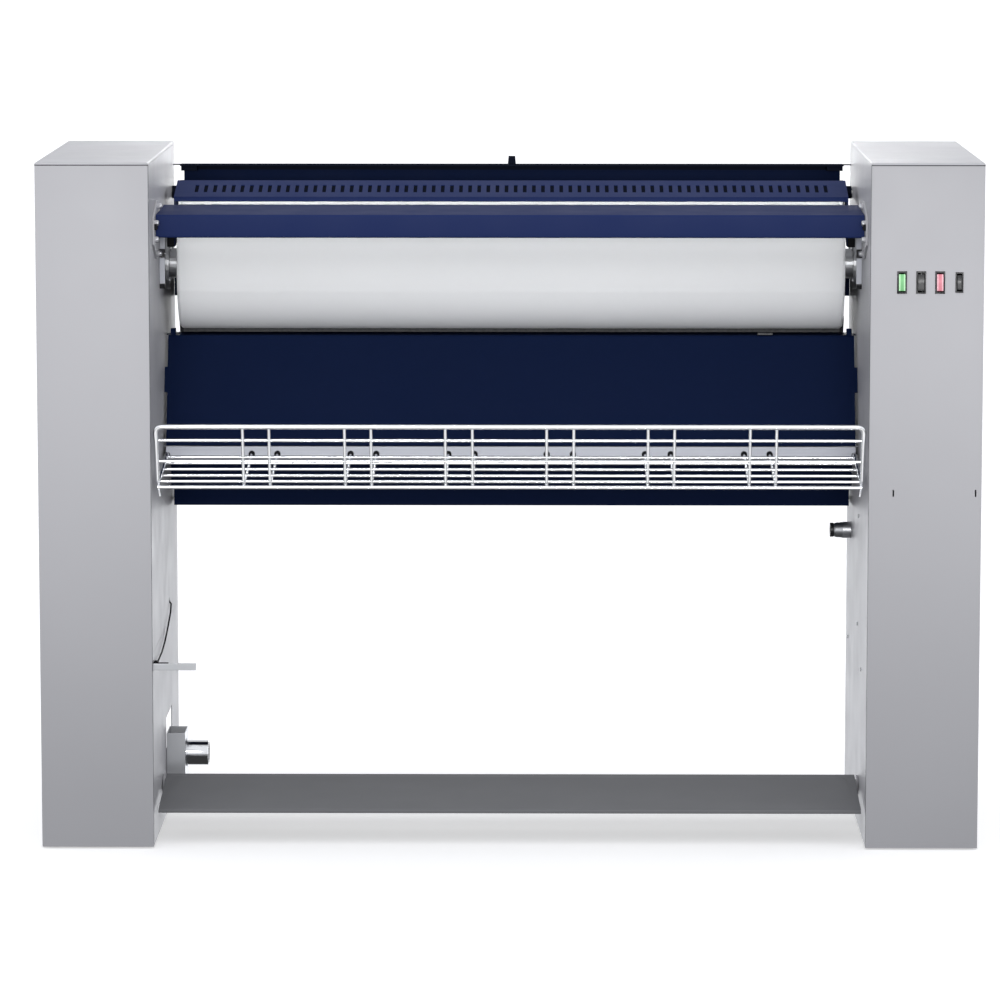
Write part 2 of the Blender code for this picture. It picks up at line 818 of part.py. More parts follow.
def press_rod():
    """A flat bar from the crank to the chest lever, with a pin at each end."""
    near = LINK_X + LINK_THICKNESS + 0.003
    bar = flat(
        "press_rod",
        [capsule((ROD_Y, PEDAL_Z), 0.010, (ROD_Y, PIVOT_Z), 0.010)],
        near,
        near + 0.006,
        STEEL,
    )
    join(
        bar,
        *[
            cylinder("join_pin", (LINK_X - 0.003, near + 0.001), (ROD_Y, z), 0.006, segments=20)
            for z in (PEDAL_Z, PIVOT_Z)
        ],
    )
    set_origin(bar, (near, ROD_Y, PEDAL_Z))


pedal_board()
pedal_shaft()
pedal_spring()
press_rod()

# Guard


def slotted_guard():
    """The slotted plate over the roll, with a lip, end cheeks, stop blocks and pivots in the panels."""
    slope = Vector(GUARD_BACK) - Vector(GUARD_FRONT)
    angle = math.atan2(slope.y, slope.x)
    middle = (Vector(GUARD_BACK) + Vector(GUARD_FRONT)) / 2
    half = slope.length / 2
    outline = rectangle((-GUARD_HALF, -half), (GUARD_HALF, half))
    first = -SLOT_PITCH * (SLOT_COUNT - 1) / 2
    slots = [
        rectangle(
            (first + i * SLOT_PITCH - SLOT_WIDTH / 2, -SLOT_LENGTH / 2),
            (first + i * SLOT_PITCH + SLOT_WIDTH / 2, SLOT_LENGTH / 2),
        )
        for i in range(SLOT_COUNT)
    ]
    tilt = Matrix.Translation((0, *middle)) @ Matrix.Rotation(angle, 4, "X")
    plate = flat("slotted_guard", [outline, *slots], -SKIN / 2, SKIN / 2, NAVY, tilt, (0, 0, 0))
    lip_y, lip_z = GUARD_FRONT
    lip_low = (-GUARD_HALF, lip_y - 0.0008, lip_z - 0.007)
    lip = box("join_lip", lip_low, (GUARD_HALF, lip_y + 0.0006, lip_z))
    stop_low, stop_high = 0.9422, 0.966
    cheek = [
        (lip_y, stop_low),
        (0.060, stop_low),
        (GUARD_BACK[0] - 0.001, 0.972),
        (GUARD_BACK[0] - 0.001, GUARD_BACK[1]),
        (lip_y, lip_z),
    ]
    extras = [lip]
    for side in (-1, 1):
        cheek_in, cheek_out = GUARD_HALF - SKIN, GUARD_HALF - 0.0001
        extras.append(flat("join_cheek", [cheek], side * cheek_in, side * cheek_out))
        stop_from = (side * (cheek_in + 0.0001), lip_y + 0.0001, stop_low + 0.0001)
        extras.append(box("join_stop_block", stop_from, (side * 0.563, lip_y + 0.012, stop_high)))
        pin_ends = (side * (cheek_in + 0.0002), side * 0.580)
        extras.append(cylinder("join_guard_pivot", pin_ends, GUARD_PIVOT, 0.005, segments=20))
    join(plate, *extras)
    set_origin(plate, (0, *GUARD_PIVOT))


slotted_guard()

# Feed board, covers, chute and ledge


def with_tabs(obj, profile, half):
    """Adds a cover's tabs to both inner panels, in line with a stretch of its profile."""
    for side in (-1, 1):
        ends = sorted((side * (half - 0.006), side * panel_face))
        join(obj, sheet("join_tab", profile, *ends, thickness=SKIN - 0.0003))
    return obj


def feed_board():
    profile = [(-0.148, 0.9738), (-0.1782, 0.9738), (-0.1782, 1.0092), (0.001, 1.0124), (0.005, 1.000)]
    sheet("feed_board", rounded(profile, 0.003), -BOARD_HALF, BOARD_HALF, NAVY, 0.0016)


def board_bracket(side, word):
    """A side plate with its four screws and the shelf under the board's top."""
    outline = [
        (-0.206, 0.964),
        (-0.146, 0.937),
        (-0.130, 0.937),
        (-0.118, 0.950),
        (-0.118, 1.028),
        (-0.135, 1.028),
        (-0.206, 1.008),
    ]
    plate = flat(word + "_board_bracket", [outline], side * 0.5667, side * panel_face, GREY)
    screws = [
        cylinder("join_screw", (side * 0.5627, side * 0.5675), spot, 0.0048, segments=12)
        for spot in ((-0.198, 0.998), (-0.198, 0.972), (-0.127, 1.020), (-0.138, 0.945))
    ]
    shelf = box("join_shelf", (side * 0.536, -0.172, 1.0000), (side * 0.5675, -0.132, 1.0082))
    join(plate, shelf, *screws)


def rear_cover():
    profile = [(0.262, 0.490), (REAR_Y, 0.490), (REAR_Y, 1.0520)]
    cover = sheet("rear_cover", rounded(profile, 0.002), -REAR_HALF, REAR_HALF, DARK_NAVY)
    with_tabs(cover, [(REAR_Y, 0.540), (REAR_Y, 0.580)], REAR_HALF)
    with_tabs(cover, [(REAR_Y, 0.840), (REAR_Y, 0.880)], REAR_HALF)


def rear_trim():
    profile = rounded([(0.226, 1.0622), (REAR_Y, 1.0622), (REAR_Y, 1.0527)], 0.002)
    trim = sheet("rear_trim", profile, -0.556, 0.556, BLACK)
    with_tabs(trim, [(REAR_Y - 0.020, 1.0622), (REAR_Y - 0.006, 1.0622)], 0.556)


def catch_tab():
    low = 1.0622 + SKIN / 2 + CLEARANCE
    outline = [(-0.00675, low), (0.00675, low), (0.0055, 1.076), (-0.0055, 1.076)]
    frame = Matrix.Rotation(math.pi / 2, 4, "X")
    flat("catch_tab", [outline], 0.258, 0.270, BLACK, frame, (0, 1, 0))


def exit_chute():
    profile = [(0.144, 0.790), (0.052, 0.7935), (-0.0150, 0.6190)]
    chute = sheet("exit_chute", rounded(profile, 0.004), -CHUTE_HALF, CHUTE_HALF, DARK_NAVY)
    with_tabs(chute, [(0.120, 0.7909), (0.080, 0.7924)], CHUTE_HALF)
    with_tabs(chute, [(0.0328, 0.7435), (0.0174, 0.7034)], CHUTE_HALF)


def tray_ledge():
    profile = [(0.012, 0.6168), (-0.0155, 0.6168), (-0.0272, 0.6040), (-0.0200, 0.5960), (0.012, 0.5960)]
    ledge = sheet("tray_ledge", profile, -CHUTE_HALF, CHUTE_HALF, GREY, 0.0014)
    holes = [
        cylinder("cut_wire_hole", (-0.040, 0.0), (x, TRAY_HINGE[1]), 0.0055, axis="Y", segments=10)
        for x in wire_places()
    ]
    with_tabs(ledge, [(0.010, 0.6168), (-0.004, 0.6168)], CHUTE_HALF)
    cut(ledge, *holes)


def lower_cover():
    profile = [(-0.012, 0.5935), (0.154, 0.5935), (0.154, 0.4985), (0.2685, 0.4985)]
    cover = sheet("lower_cover", rounded(profile, 0.002), -CHUTE_HALF, CHUTE_HALF, DARK_NAVY)
    with_tabs(cover, [(0.154, 0.570), (0.154, 0.530)], CHUTE_HALF)
    with_tabs(cover, [(0.040, 0.5935), (0.080, 0.5935)], CHUTE_HALF)


# Wire tray


def wire_places():
    """Where the cross wires stand along X."""
    return sorted(sign * x for x in CROSS_WIRES for sign in (-1, 1))


def cross_wire(x):
    """From the top rail down the front, round the bottom bend and back along the floor to the ledge."""
    return [(x, *point) for point in rounded([RAIL, FLOOR_FRONT, FLOOR_BACK], 0.012, 4)]


def floor_height(y):
    """Height of the cross wires' middle line at a depth in the tray."""
    share = (y - FLOOR_FRONT[0]) / (FLOOR_BACK[0] - FLOOR_FRONT[0])
    return FLOOR_FRONT[1] + share * (FLOOR_BACK[1] - FLOOR_FRONT[1])


def wire_tray():
    """Top rail with its bent-down ends, long wires and cross wires, welded into one basket."""
    rail_end = (-0.030, floor_height(-0.030) + 0.0015)
    corners = [(-TRAY_HALF, *spot) for spot in (rail_end, END_RAIL_BEND, RAIL)]
    corners += [(TRAY_HALF, *spot) for spot in (RAIL, END_RAIL_BEND, rail_end)]
    rail_path = rounded(corners, 0.011, 3)
    tray = tube("wire_tray", [tuple(spot) for spot in rail_path], 0.004, CHROME)
    past_rail = TRAY_HALF + 0.0055
    long_wires = [
        (past_rail, RAIL[0] + 0.0105, 0.658, WIRE),
        (past_rail, RAIL[0] + 0.0235, 0.623, WIRE),
        (TRAY_HALF, *BOTTOM_RAIL, 0.003),
        *[(TRAY_HALF, y, floor_height(y) + 0.0042, WIRE) for y in (-0.232, -0.192, -0.149, -0.106, -0.065)],
    ]
    pieces = []
    for reach, y, z, radius in long_wires:
        pieces.append(tube("join_long_wire", [(-reach, y, z), (reach, y, z)], radius))
    for side in (-1, 1):
        hook = [(side * TRAY_HALF, -0.2435, 0.5875), (side * TRAY_HALF, -0.2490, 0.5790)]
        pieces.append(tube("join_end_hook", [*hook, (side * (TRAY_HALF - 0.002), -0.2470, 0.5660)], 0.0028))
    pieces += [tube("join_cross_wire", cross_wire(x), WIRE) for x in wire_places()]
    join(tray, *pieces)
    set_origin(tray, (0, *TRAY_HINGE))


feed_board()
both_sides(board_bracket)
rear_cover()
rear_trim()
catch_tab()
exit_chute()
tray_ledge()
lower_cover()
wire_tray()

# Controls


def switch_carrier():
    """The plastic block behind the front panel, whose four bezels stand in the panel's openings."""
    face = FRONT_Y + SKIN + CLEARANCE
    carrier = box("switch_carrier", (0.604, face, 0.884), (0.724, face + 0.002, 0.939), BLACK)
    for name, x, width, height in SWITCHES:
        wide, tall = width / 2, height / 2
        join(
            carrier,
            box(
                "join_bezel_" + name,
                (x - wide, FRONT_Y - 0.0014, SWITCH_Z - tall),
                (x + wide, face + 0.0015, SWITCH_Z + tall),
            ),
        )
    for name, x, width, height in SWITCHES:
        wide, tall = width / 2 - BEZEL_WALL, height / 2 - BEZEL_WALL
        cut(
            carrier,
            box("cut_" + name, (x - wide, -0.30, SWITCH_Z - tall), (x + wide, -0.25, SWITCH_Z + tall)),
        )


def rocker(name, x, width, height):
    """A rocker on a pin along X, with a hollowed face."""
    half = width / 2 - BEZEL_WALL - 0.0004
    tall = height / 2 - BEZEL_WALL - 0.0021
    outline = [
        (FRONT_Y - SWITCH_PROUD, SWITCH_Z - tall),
        (FRONT_Y - 0.0004, SWITCH_Z + tall * 0.1),
        (FRONT_Y - 0.0010, SWITCH_Z + tall),
        (FRONT_Y + 0.0060, SWITCH_Z + tall * 0.75),
        (FRONT_Y + 0.0120, SWITCH_Z + 0.003),
        (FRONT_Y + 0.0120, SWITCH_Z - 0.003),
        (FRONT_Y + 0.0060, SWITCH_Z - tall * 0.75),
    ]
    look = {"start_rocker": GREEN, "stop_rocker": RED}.get(name, BLACK)
    set_origin(flat(name, [outline], x - half, x + half, look), (x, ROCKER_PIVOT_Y, SWITCH_Z))


def control_box():
    """Sheet box for the contactors, open at the back."""
    shape = bmesh.new()
    add_box(shape, (0.604, FRONT_Y + 0.0045, 0.700), (0.724, -0.165, 0.870))
    shape.faces.ensure_lookup_table()
    back = [face for face in shape.faces if face.normal.y > 0.5]
    bmesh.ops.delete(shape, geom=back, context="FACES_ONLY")
    case = mesh_object("control_box", shape, ZINC)
    solid = case.modifiers.new("Solidify", "SOLIDIFY")
    solid.thickness = SKIN
    solid.offset = -1
    solid.use_even_offset = True


switch_carrier()
for switch in SWITCHES:
    rocker(*switch)
control_box()

# Services


def exhaust_box():
    """An open-topped sheet box on the left inner panel, below the opening in it."""
    shape = bmesh.new()
    add_box(shape, (-panel_face, BOX_Y[0], BOX_Z[0]), (-BOX_X, BOX_Y[1], BOX_Z[1]))
    shape.faces.ensure_lookup_table()
    top = [face for face in shape.faces if face.normal.z > 0.5]
    bmesh.ops.delete(shape, geom=top, context="FACES_ONLY")
    case = mesh_object("exhaust_box", shape, ZINC)
    solid = case.modifiers.new("Solidify", "SOLIDIFY")
    solid.thickness = SKIN
    solid.offset = -1
    solid.use_even_offset = True
    spigot = (SPIGOT_Y, SPIGOT_Z)
    cut(case, cylinder("cut_spigot_hole", (-0.545, -0.530), spigot, SPIGOT_RADIUS - 0.004))


def exhaust_spigot():
    """A spun tube with a flange against the box."""
    near = -BOX_X + CLEARANCE
    turned(
        "exhaust_spigot",
        [
            (-SPIGOT_END, SPIGOT_RADIUS - 0.0025),
            (-SPIGOT_END, SPIGOT_RADIUS),
            (near + 0.002, SPIGOT_RADIUS),
            (near + 0.002, SPIGOT_RADIUS + 0.002),
            (near, SPIGOT_RADIUS + 0.002),
            (near, SPIGOT_RADIUS - 0.0025),
        ],
        CHROME,
        steps=28,
        centre=(SPIGOT_Y, SPIGOT_Z),
        closed=True,
    )


def conduit_gland():
    """A cable gland through the right inner panel, with its nut inside."""
    bore = 0.005
    turned(
        "conduit_gland",
        [
            (0.580, bore),
            (0.580, 0.010),
            (panel_face, 0.010),
            (panel_face, 0.014),
            (0.556, 0.014),
            (0.545, 0.0125),
            (0.5425, 0.0115),
            (0.5415, 0.012),
            (0.535, 0.012),
            (0.535, bore),
        ],
        BLACK,
        steps=16,
        centre=(GLAND_Y, GLAND_Z),
        closed=True,
    )


def release_lever():
    """A flat bar on a pin behind the left inner panel, reaching out through it."""
    low = (-0.582, LEVER_Y - 0.0025, LEVER_Z - 0.0055)
    high = (-0.501, LEVER_Y + 0.0025, LEVER_Z + 0.0055)
    bar = box("release_lever", low, high, ZINC)
    pin_ends = (LEVER_Y - 0.0065, LEVER_Y + 0.0075)
    pin = cylinder("join_lever_pin", pin_ends, (-LEVER_PIVOT_X, LEVER_Z), 0.003, axis="Y", segments=16)
    set_origin(join(bar, pin), (-LEVER_PIVOT_X, LEVER_Y, LEVER_Z))


def lever_bracket():
    """A saddle behind the panel that holds the lever's pin on both sides."""
    low = (-0.594, LEVER_Y - 0.0075, LEVER_Z - 0.012)
    high = (-INNER_X - SKIN - CLEARANCE, LEVER_Y + 0.0085, LEVER_Z + 0.012)
    saddle = box("lever_bracket", low, high, ZINC)
    way = box("cut_lever_way", (-0.590, LEVER_Y - 0.0035, 0.20), (-0.560, LEVER_Y + 0.0035, 0.40))
    pin_ends = (LEVER_Y - 0.02, LEVER_Y + 0.02)
    pin = cylinder("cut_lever_pin", pin_ends, (-LEVER_PIVOT_X, LEVER_Z), 0.0034, axis="Y", segments=16)
    cut(saddle, way, pin)


def release_cable():
    """A sheathed cable held all the way along the panel, from beside the lever to its hole."""
    route = [
        (-0.566, -0.2665, 0.2990),
        (-0.566, -0.2350, 0.2960),
        (-0.566, -0.2000, 0.2935),
        (-0.566, -0.1350, 0.2945),
        (-0.566, -0.0650, 0.3015),
        (-0.566, 0.0100, 0.3160),
        (-0.566, 0.0660, 0.3310),
        (-0.567, 0.0900, 0.3400),
        (-0.572, 0.1010, 0.3460),
        (-0.580, 0.1050, 0.3480),
        (-0.590, 0.1060, 0.3480),
    ]
    tube("release_cable", route, 0.0014, RUBBER)


exhaust_box()
exhaust_spigot()
conduit_gland()
release_lever()
lever_bracket()
release_cable()

for part in PARTS.objects:
    if part.type == "MESH":
        part.data.shade_smooth()
        part.data.set_sharp_from_angle(angle=math.radians(30))
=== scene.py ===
"""Looks of the flatwork ironer: finishes, rounded edges, roll cloth, wires, screws, light and camera.

Metres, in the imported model's frame: +Z up, X to the right as seen from the front, the front faces -Y.
"""

import json
import math

import bmesh
import bpy
from mathutils import Matrix, Vector


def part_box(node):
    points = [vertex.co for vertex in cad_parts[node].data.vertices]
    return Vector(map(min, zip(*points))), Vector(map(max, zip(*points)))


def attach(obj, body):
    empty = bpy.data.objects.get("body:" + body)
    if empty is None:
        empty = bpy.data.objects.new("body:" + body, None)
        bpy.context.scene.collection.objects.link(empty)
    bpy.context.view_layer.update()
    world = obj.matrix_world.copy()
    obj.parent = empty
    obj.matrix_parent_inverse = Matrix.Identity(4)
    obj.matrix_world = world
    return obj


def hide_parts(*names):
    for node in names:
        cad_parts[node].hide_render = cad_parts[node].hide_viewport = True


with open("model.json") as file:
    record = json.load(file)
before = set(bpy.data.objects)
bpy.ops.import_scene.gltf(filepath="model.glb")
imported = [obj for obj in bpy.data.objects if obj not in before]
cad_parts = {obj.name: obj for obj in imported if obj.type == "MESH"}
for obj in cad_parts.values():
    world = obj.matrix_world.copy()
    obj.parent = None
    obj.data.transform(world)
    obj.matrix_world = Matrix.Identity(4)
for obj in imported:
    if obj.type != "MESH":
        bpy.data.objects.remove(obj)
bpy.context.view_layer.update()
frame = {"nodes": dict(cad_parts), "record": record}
NODES = frame["nodes"]
SLOT_OF = {part["node"]: part["material_slot"] for part in frame["record"]["subparts"]}
BODY_OF = {
    node: body for body, members in frame["record"]["behaviour"]["bodies"].items() for node in members
}

# Camera: the photograph's perspective gives its distance, height and angle of view
PHOTO_WIDTH_PX = 1000
FOCAL_LENGTH_PX = 5060
SENSOR_MM = 36.0
CAMERA_SPOT = Vector((0.0564, -8.249, 1.615))
CAMERA_AIM = Vector((-0.015, -0.286, 0.565))

camera_data = bpy.data.cameras.new("photo_camera")
camera_data.sensor_width = SENSOR_MM
camera_data.lens = SENSOR_MM * FOCAL_LENGTH_PX / PHOTO_WIDTH_PX
camera = bpy.data.objects.new("photo_camera", camera_data)
camera.location = CAMERA_SPOT
camera.rotation_mode = "QUATERNION"
camera.rotation_quaternion = (CAMERA_AIM - CAMERA_SPOT).to_track_quat("-Z", "Y")
bpy.context.scene.collection.objects.link(camera)
bpy.context.scene.camera = camera
bpy.context.scene.view_settings.view_transform = "Standard"


# Materials


def maths(tree, operation, *values):
    """A maths node fed with numbers or with other nodes' outputs."""
    step = tree.nodes.new("ShaderNodeMath")
    step.operation = operation
    for socket, value in zip(step.inputs, values):
        if isinstance(value, (int, float)):
            socket.default_value = value
        else:
            tree.links.new(value, socket)
    return step.outputs["Value"]


class Finish:
    """A Principled material whose textures stay with the object's own coordinates."""

    def __init__(self, name, colour, roughness, metallic=0.0, **sockets):
        self.material = bpy.data.materials.new(name)
        self.material.use_nodes = True
        self.tree = self.material.node_tree
        self.nodes, self.links = self.tree.nodes, self.tree.links
        self.shader = self.nodes["Principled BSDF"]
        self.colour = colour
        self.place = self.nodes.new("ShaderNodeTexCoord").outputs["Object"]
        self.shader.inputs["Base Color"].default_value = (*colour, 1)
        self.shader.inputs["Roughness"].default_value = roughness
        self.shader.inputs["Metallic"].default_value = metallic
        for socket, value in sockets.items():
            self.shader.inputs[socket.replace("_", " ")].default_value = value
        self.roughness = roughness

    def noise(self, scale, detail=3.0, stretch=(1, 1, 1)):
        """A noise pattern, in cells per metre, drawn out where stretch is below 1."""
        spread = self.nodes.new("ShaderNodeMapping")
        spread.inputs["Scale"].default_value = stretch
        self.links.new(self.place, spread.inputs["Vector"])
        noise = self.nodes.new("ShaderNodeTexNoise")
        noise.inputs["Scale"].default_value = scale
        noise.inputs["Detail"].default_value = detail
        self.links.new(spread.outputs["Vector"], noise.inputs["Vector"])
        return noise.outputs["Fac"]

    def between(self, factor, low, high, start=0.3, end=0.7):
        """Maps a pattern to numbers between low and high."""
        span = self.nodes.new("ShaderNodeMapRange")
        values = (("From Min", start), ("From Max", end), ("To Min", low), ("To Max", high))
        for socket, value in values:
            span.inputs[socket].default_value = value
        self.links.new(factor, span.inputs["Value"])
        return span.outputs["Result"]

    def shade(self, factor, amount):
        """Lightens and darkens the colour by a share of itself along a pattern."""
        mix = self.nodes.new("ShaderNodeMix")
        mix.data_type = "RGBA"
        dark = [channel * (1 - amount) for channel in self.colour]
        light = [min(1.0, channel * (1 + amount)) for channel in self.colour]
        mix.inputs["A"].default_value = (*dark, 1)
        mix.inputs["B"].default_value = (*light, 1)
        self.links.new(self.between(factor, 0, 1), mix.inputs["Factor"])
        self.links.new(mix.outputs["Result"], self.shader.inputs["Base Color"])
        return self

    def polish(self, factor, amount):
        """Varies the roughness by an amount up and down along a pattern."""
        spread = self.between(factor, self.roughness - amount, self.roughness + amount)
        self.links.new(spread, self.shader.inputs["Roughness"])
        return self

    def relief(self, height, distance, strength=1.0):
        """Adds a bump, in metres, on top of the ones already there."""
        bump = self.nodes.new("ShaderNodeBump")
        bump.inputs["Distance"].default_value = distance
        bump.inputs["Strength"].default_value = strength
        self.links.new(height, bump.inputs["Height"])
        normal = self.shader.inputs["Normal"]
        if normal.is_linked:
            self.links.new(normal.links[0].from_socket, bump.inputs["Normal"])
        self.links.new(bump.outputs["Normal"], normal)
        return self


def powder_coat(name, colour, roughness, sheen=0.35):
    """Baked paint on sheet: slight orange peel, a faint cloudiness and uneven sheen."""
    finish = Finish(name, colour, roughness, Specular_IOR_Level=sheen)
    finish.shade(finish.noise(2.2, 4), 0.025)
    finish.polish(finish.noise(14, 5), 0.05)
    return finish.relief(finish.noise(700, 2), 0.000002, 0.1)


def plated(name, colour, roughness, grain):
    """Plated steel: fine marks drawn out along X, and cloudy sheen."""
    finish = Finish(name, colour, roughness, metallic=1.0)
    finish.shade(finish.noise(14, 2), 0.04)
    finish.polish(finish.noise(18, 2), roughness * 0.12)
    return finish.relief(finish.noise(900, 3, (0.06, 1, 1)), grain, 0.4)


def machined(name, colour, roughness):
    """Bare steel with turning and drawing marks and darker patches."""
    finish = Finish(name, colour, roughness, metallic=0.95)
    finish.shade(finish.noise(22, 5), 0.18)
    finish.polish(finish.noise(45, 5), 0.1)
    return finish.relief(finish.noise(1200, 2, (0.1, 1, 1)), 0.00004, 0.7)


def cast(name, colour, metallic):
    """Sand-cast iron under thin enamel."""
    finish = Finish(name, colour, 0.62, metallic=metallic)
    finish.shade(finish.noise(70, 6), 0.25)
    finish.polish(finish.noise(160, 4), 0.12)
    return finish.relief(finish.noise(520, 5), 0.0004, 0.7)


def moulded(name, colour, roughness, **sockets):
    """Plastic or rubber with a fine moulded grain."""
    finish = Finish(name, colour, roughness, **sockets)
    finish.shade(finish.noise(40, 4), 0.08)
    finish.polish(finish.noise(120, 4), 0.06)
    return finish.relief(finish.noise(2600, 2), 0.00005, 0.6)


def lens(name, rim, middle):
    """A translucent rocker, whose rim is painted paler than the strip down its middle: painted light and
    shade, standing in for the lit rocker's glow at its rim and the shade in its hollow.
    """
    finish = moulded(name, middle, 0.4, Specular_IOR_Level=0.25)
    split = finish.nodes.new("ShaderNodeSeparateXYZ")
    finish.links.new(finish.place, split.inputs["Vector"])
    from_first = maths(finish.tree, "SUBTRACT", split.outputs["X"], LENS_X)
    from_nearest = maths(finish.tree, "PINGPONG", from_first, LENS_PITCH / 2)
    mix = finish.nodes.new("ShaderNodeMix")
    mix.data_type = "RGBA"
    # The middle keeps the darker colour as painted shade; towards the rim it is mixed to the paler colour as
    # painted glow
    painted_shade_strip_colour = finish.shader.inputs["Base Color"].links[0].from_socket
    finish.links.new(painted_shade_strip_colour, mix.inputs["A"])
    mix.inputs["B"].default_value = (*rim, 1)
    edge = finish.between(from_nearest, 0, 1, LENS_STRIP, LENS_STRIP + LENS_BLUR)
    finish.links.new(edge, mix.inputs["Factor"])
    finish.links.new(mix.outputs["Result"], finish.shader.inputs["Base Color"])
    return finish


def quilted(name, colour):
    """Fibre quilt."""
    finish = Finish(name, colour, 0.95, Sheen_Weight=0.3)
    finish.shade(finish.noise(180, 6), 0.2)
    return finish.relief(finish.noise(700, 6, (1, 0.4, 0.4)), 0.0015, 0.8)


def woven(name, colour, axis_y, axis_z, radius):
    """Ironing cloth wound round an axis along X: a plain weave, soft wrinkles and faint ironing marks."""
    finish = Finish(name, colour, 0.86, Sheen_Weight=0.25, Sheen_Roughness=0.4)
    tree = finish.tree
    split = finish.nodes.new("ShaderNodeSeparateXYZ")
    finish.links.new(finish.place, split.inputs["Vector"])
    height = maths(tree, "SUBTRACT", split.outputs["Z"], axis_z)
    depth = maths(tree, "SUBTRACT", split.outputs["Y"], axis_y)
    around = maths(tree, "MULTIPLY", maths(tree, "ARCTAN2", height, depth), radius)
    threads = 2 * math.pi / THREAD_PITCH
    warp = maths(tree, "SINE", maths(tree, "MULTIPLY", split.outputs["X"], threads))
    weft = maths(tree, "SINE", maths(tree, "MULTIPLY", around, threads))
    finish.relief(maths(tree, "MULTIPLY", warp, weft), 0.00006, 0.5)
    finish.relief(finish.noise(4, 1, (0.25, 1, 1)), 0.0015, 0.2)
    finish.relief(finish.noise(1400, 3), 0.00005, 0.4)
    finish.shade(finish.noise(5, 5, (0.3, 1, 1)), 0.02)
    return finish


ROLL_LOW, ROLL_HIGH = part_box("roll_padding")
ROLL_Y = (ROLL_LOW.y + ROLL_HIGH.y) / 2
ROLL_Z = (ROLL_LOW.z + ROLL_HIGH.z) / 2
ROLL_RADIUS = (ROLL_HIGH.z - ROLL_LOW.z) / 2
ROLL_HALF = ROLL_HIGH.x

# The cloth's threads, from one to the next
THREAD_PITCH = 0.0011

# The two lit rockers: the first one's middle, the way to the second, half the width of the darker strip of
# painted shade down their middles, and how far its edge is blurred
LENS_X = sum(corner.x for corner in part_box("start_rocker")) / 2
LENS_PITCH = sum(corner.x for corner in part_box("stop_rocker")) / 2 - LENS_X
LENS_STRIP = 0.0024
LENS_BLUR = 0.0006

# The finish of each material slot
FINISHES = {
    "pedestal_paint": powder_coat("light_grey_powder_coat", (0.460, 0.458, 0.480), 0.45, sheen=0.27),
    "pedal_paint": powder_coat("mid_grey_powder_coat", (0.190, 0.192, 0.200), 0.5, sheen=0.12),
    "ledge_paint": powder_coat("pale_grey_powder_coat", (0.640, 0.655, 0.710), 0.5, sheen=0.15),
    "navy_paint": powder_coat("navy_powder_coat", (0.014, 0.025, 0.094), 0.55, sheen=0.06),
    "dark_navy_paint": powder_coat("dark_navy_powder_coat", (0.0045, 0.0105, 0.039), 0.6, sheen=0.03),
    "black_paint": powder_coat("black_powder_coat", (0.008, 0.010, 0.018), 0.7, sheen=0.0),
    "bare_steel": machined("drawn_steel", (0.40, 0.40, 0.41), 0.38),
    "zinc_steel": plated("zinc_plate", (0.57, 0.58, 0.60), 0.42, 0.00001),
    "chrome_wire": plated("bright_nickel_chrome", (0.90, 0.91, 0.93), 0.14, 0.000001),
    "chrome_tube": plated("polished_chrome", (0.80, 0.81, 0.83), 0.14, 0.000002),
    "cast_iron": cast("grey_cast_iron", (0.12, 0.12, 0.13), 0.6),
    "motor_enamel": cast("motor_enamel", (0.05, 0.055, 0.06), 0.0),
    # The quilt's colour is painted shade: a dark grey in place of its own pale fibre tone, as it shows in
    # the shade where it lies
    "insulation": quilted("shaded_fibre_quilt", (0.20, 0.20, 0.205)),
    "roll_cloth": woven("ironing_cloth", (0.93, 0.94, 0.95), ROLL_Y, ROLL_Z, ROLL_RADIUS),
    "black_rubber": moulded("black_rubber", (0.014, 0.014, 0.016), 0.75, Specular_IOR_Level=0.12),
    "black_plastic": moulded("black_plastic", (0.012, 0.012, 0.014), 0.35),
    # The lenses' paler rims are painted glow and their darker middles painted shade
    "green_lens": lens("green_lens", (0.50, 0.86, 0.50), (0.20, 0.52, 0.22)),
    "red_lens": lens("red_lens", (0.88, 0.48, 0.54), (0.66, 0.22, 0.27)),
}

for node, obj in NODES.items():
    obj.data.materials.clear()
    obj.data.materials.append(FINISHES[SLOT_OF[node]].material)


# Building pieces

PIECES = {}
SCREW_STEPS = 24


def add_piece(name, data, slot, body, replaces=(), sharp=30):
    """Puts a mesh or curve in the scene as a piece that rides on a body."""
    piece = PIECES[name] = bpy.data.objects.new(name, data)
    bpy.context.scene.collection.objects.link(piece)
    data.materials.clear()
    data.materials.append(FINISHES[slot].material)
    if isinstance(data, bpy.types.Mesh):
        data.shade_smooth()
        data.set_sharp_from_angle(angle=math.radians(sharp))
    if replaces:
        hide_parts(*replaces)
    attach(piece, body)
    return piece


def to_mesh(name, shape):
    """A mesh from a bmesh, which is freed."""
    bmesh.ops.recalc_face_normals(shape, faces=shape.faces)
    mesh = bpy.data.meshes.new(name)
    shape.to_mesh(mesh)
    shape.free()
    return mesh


def softened(piece, width, segments=3):
    """Rounds the piece's sharp edges."""
    bevel = piece.modifiers.new("Rounded edges", "BEVEL")
    bevel.width = width
    bevel.segments = segments
    bevel.limit_method = "ANGLE"
    bevel.angle_limit = math.radians(35)
    bevel.harden_normals = True
    return piece


def rounded_copy(node, width, segments=3):
    """A copy of a CAD node whose sharp edges are rounded, which stands for the node."""
    shape = bmesh.new()
    shape.from_mesh(NODES[node].data)
    bmesh.ops.remove_doubles(shape, verts=shape.verts, dist=1e-6)
    flat_angle = math.radians(0.3)
    bmesh.ops.dissolve_limit(shape, angle_limit=flat_angle, verts=shape.verts, edges=shape.edges)
    mesh = to_mesh(node + "_finished", shape)
    piece = add_piece(node + "_finished", mesh, SLOT_OF[node], BODY_OF[node], [node])
    return softened(piece, width, segments)


def along(spot, direction):
    """The frame at a spot whose Z points along a direction."""
    turn = Vector(direction).to_track_quat("Z", "Y").to_matrix().to_4x4()
    return Matrix.Translation(Vector(spot)) @ turn


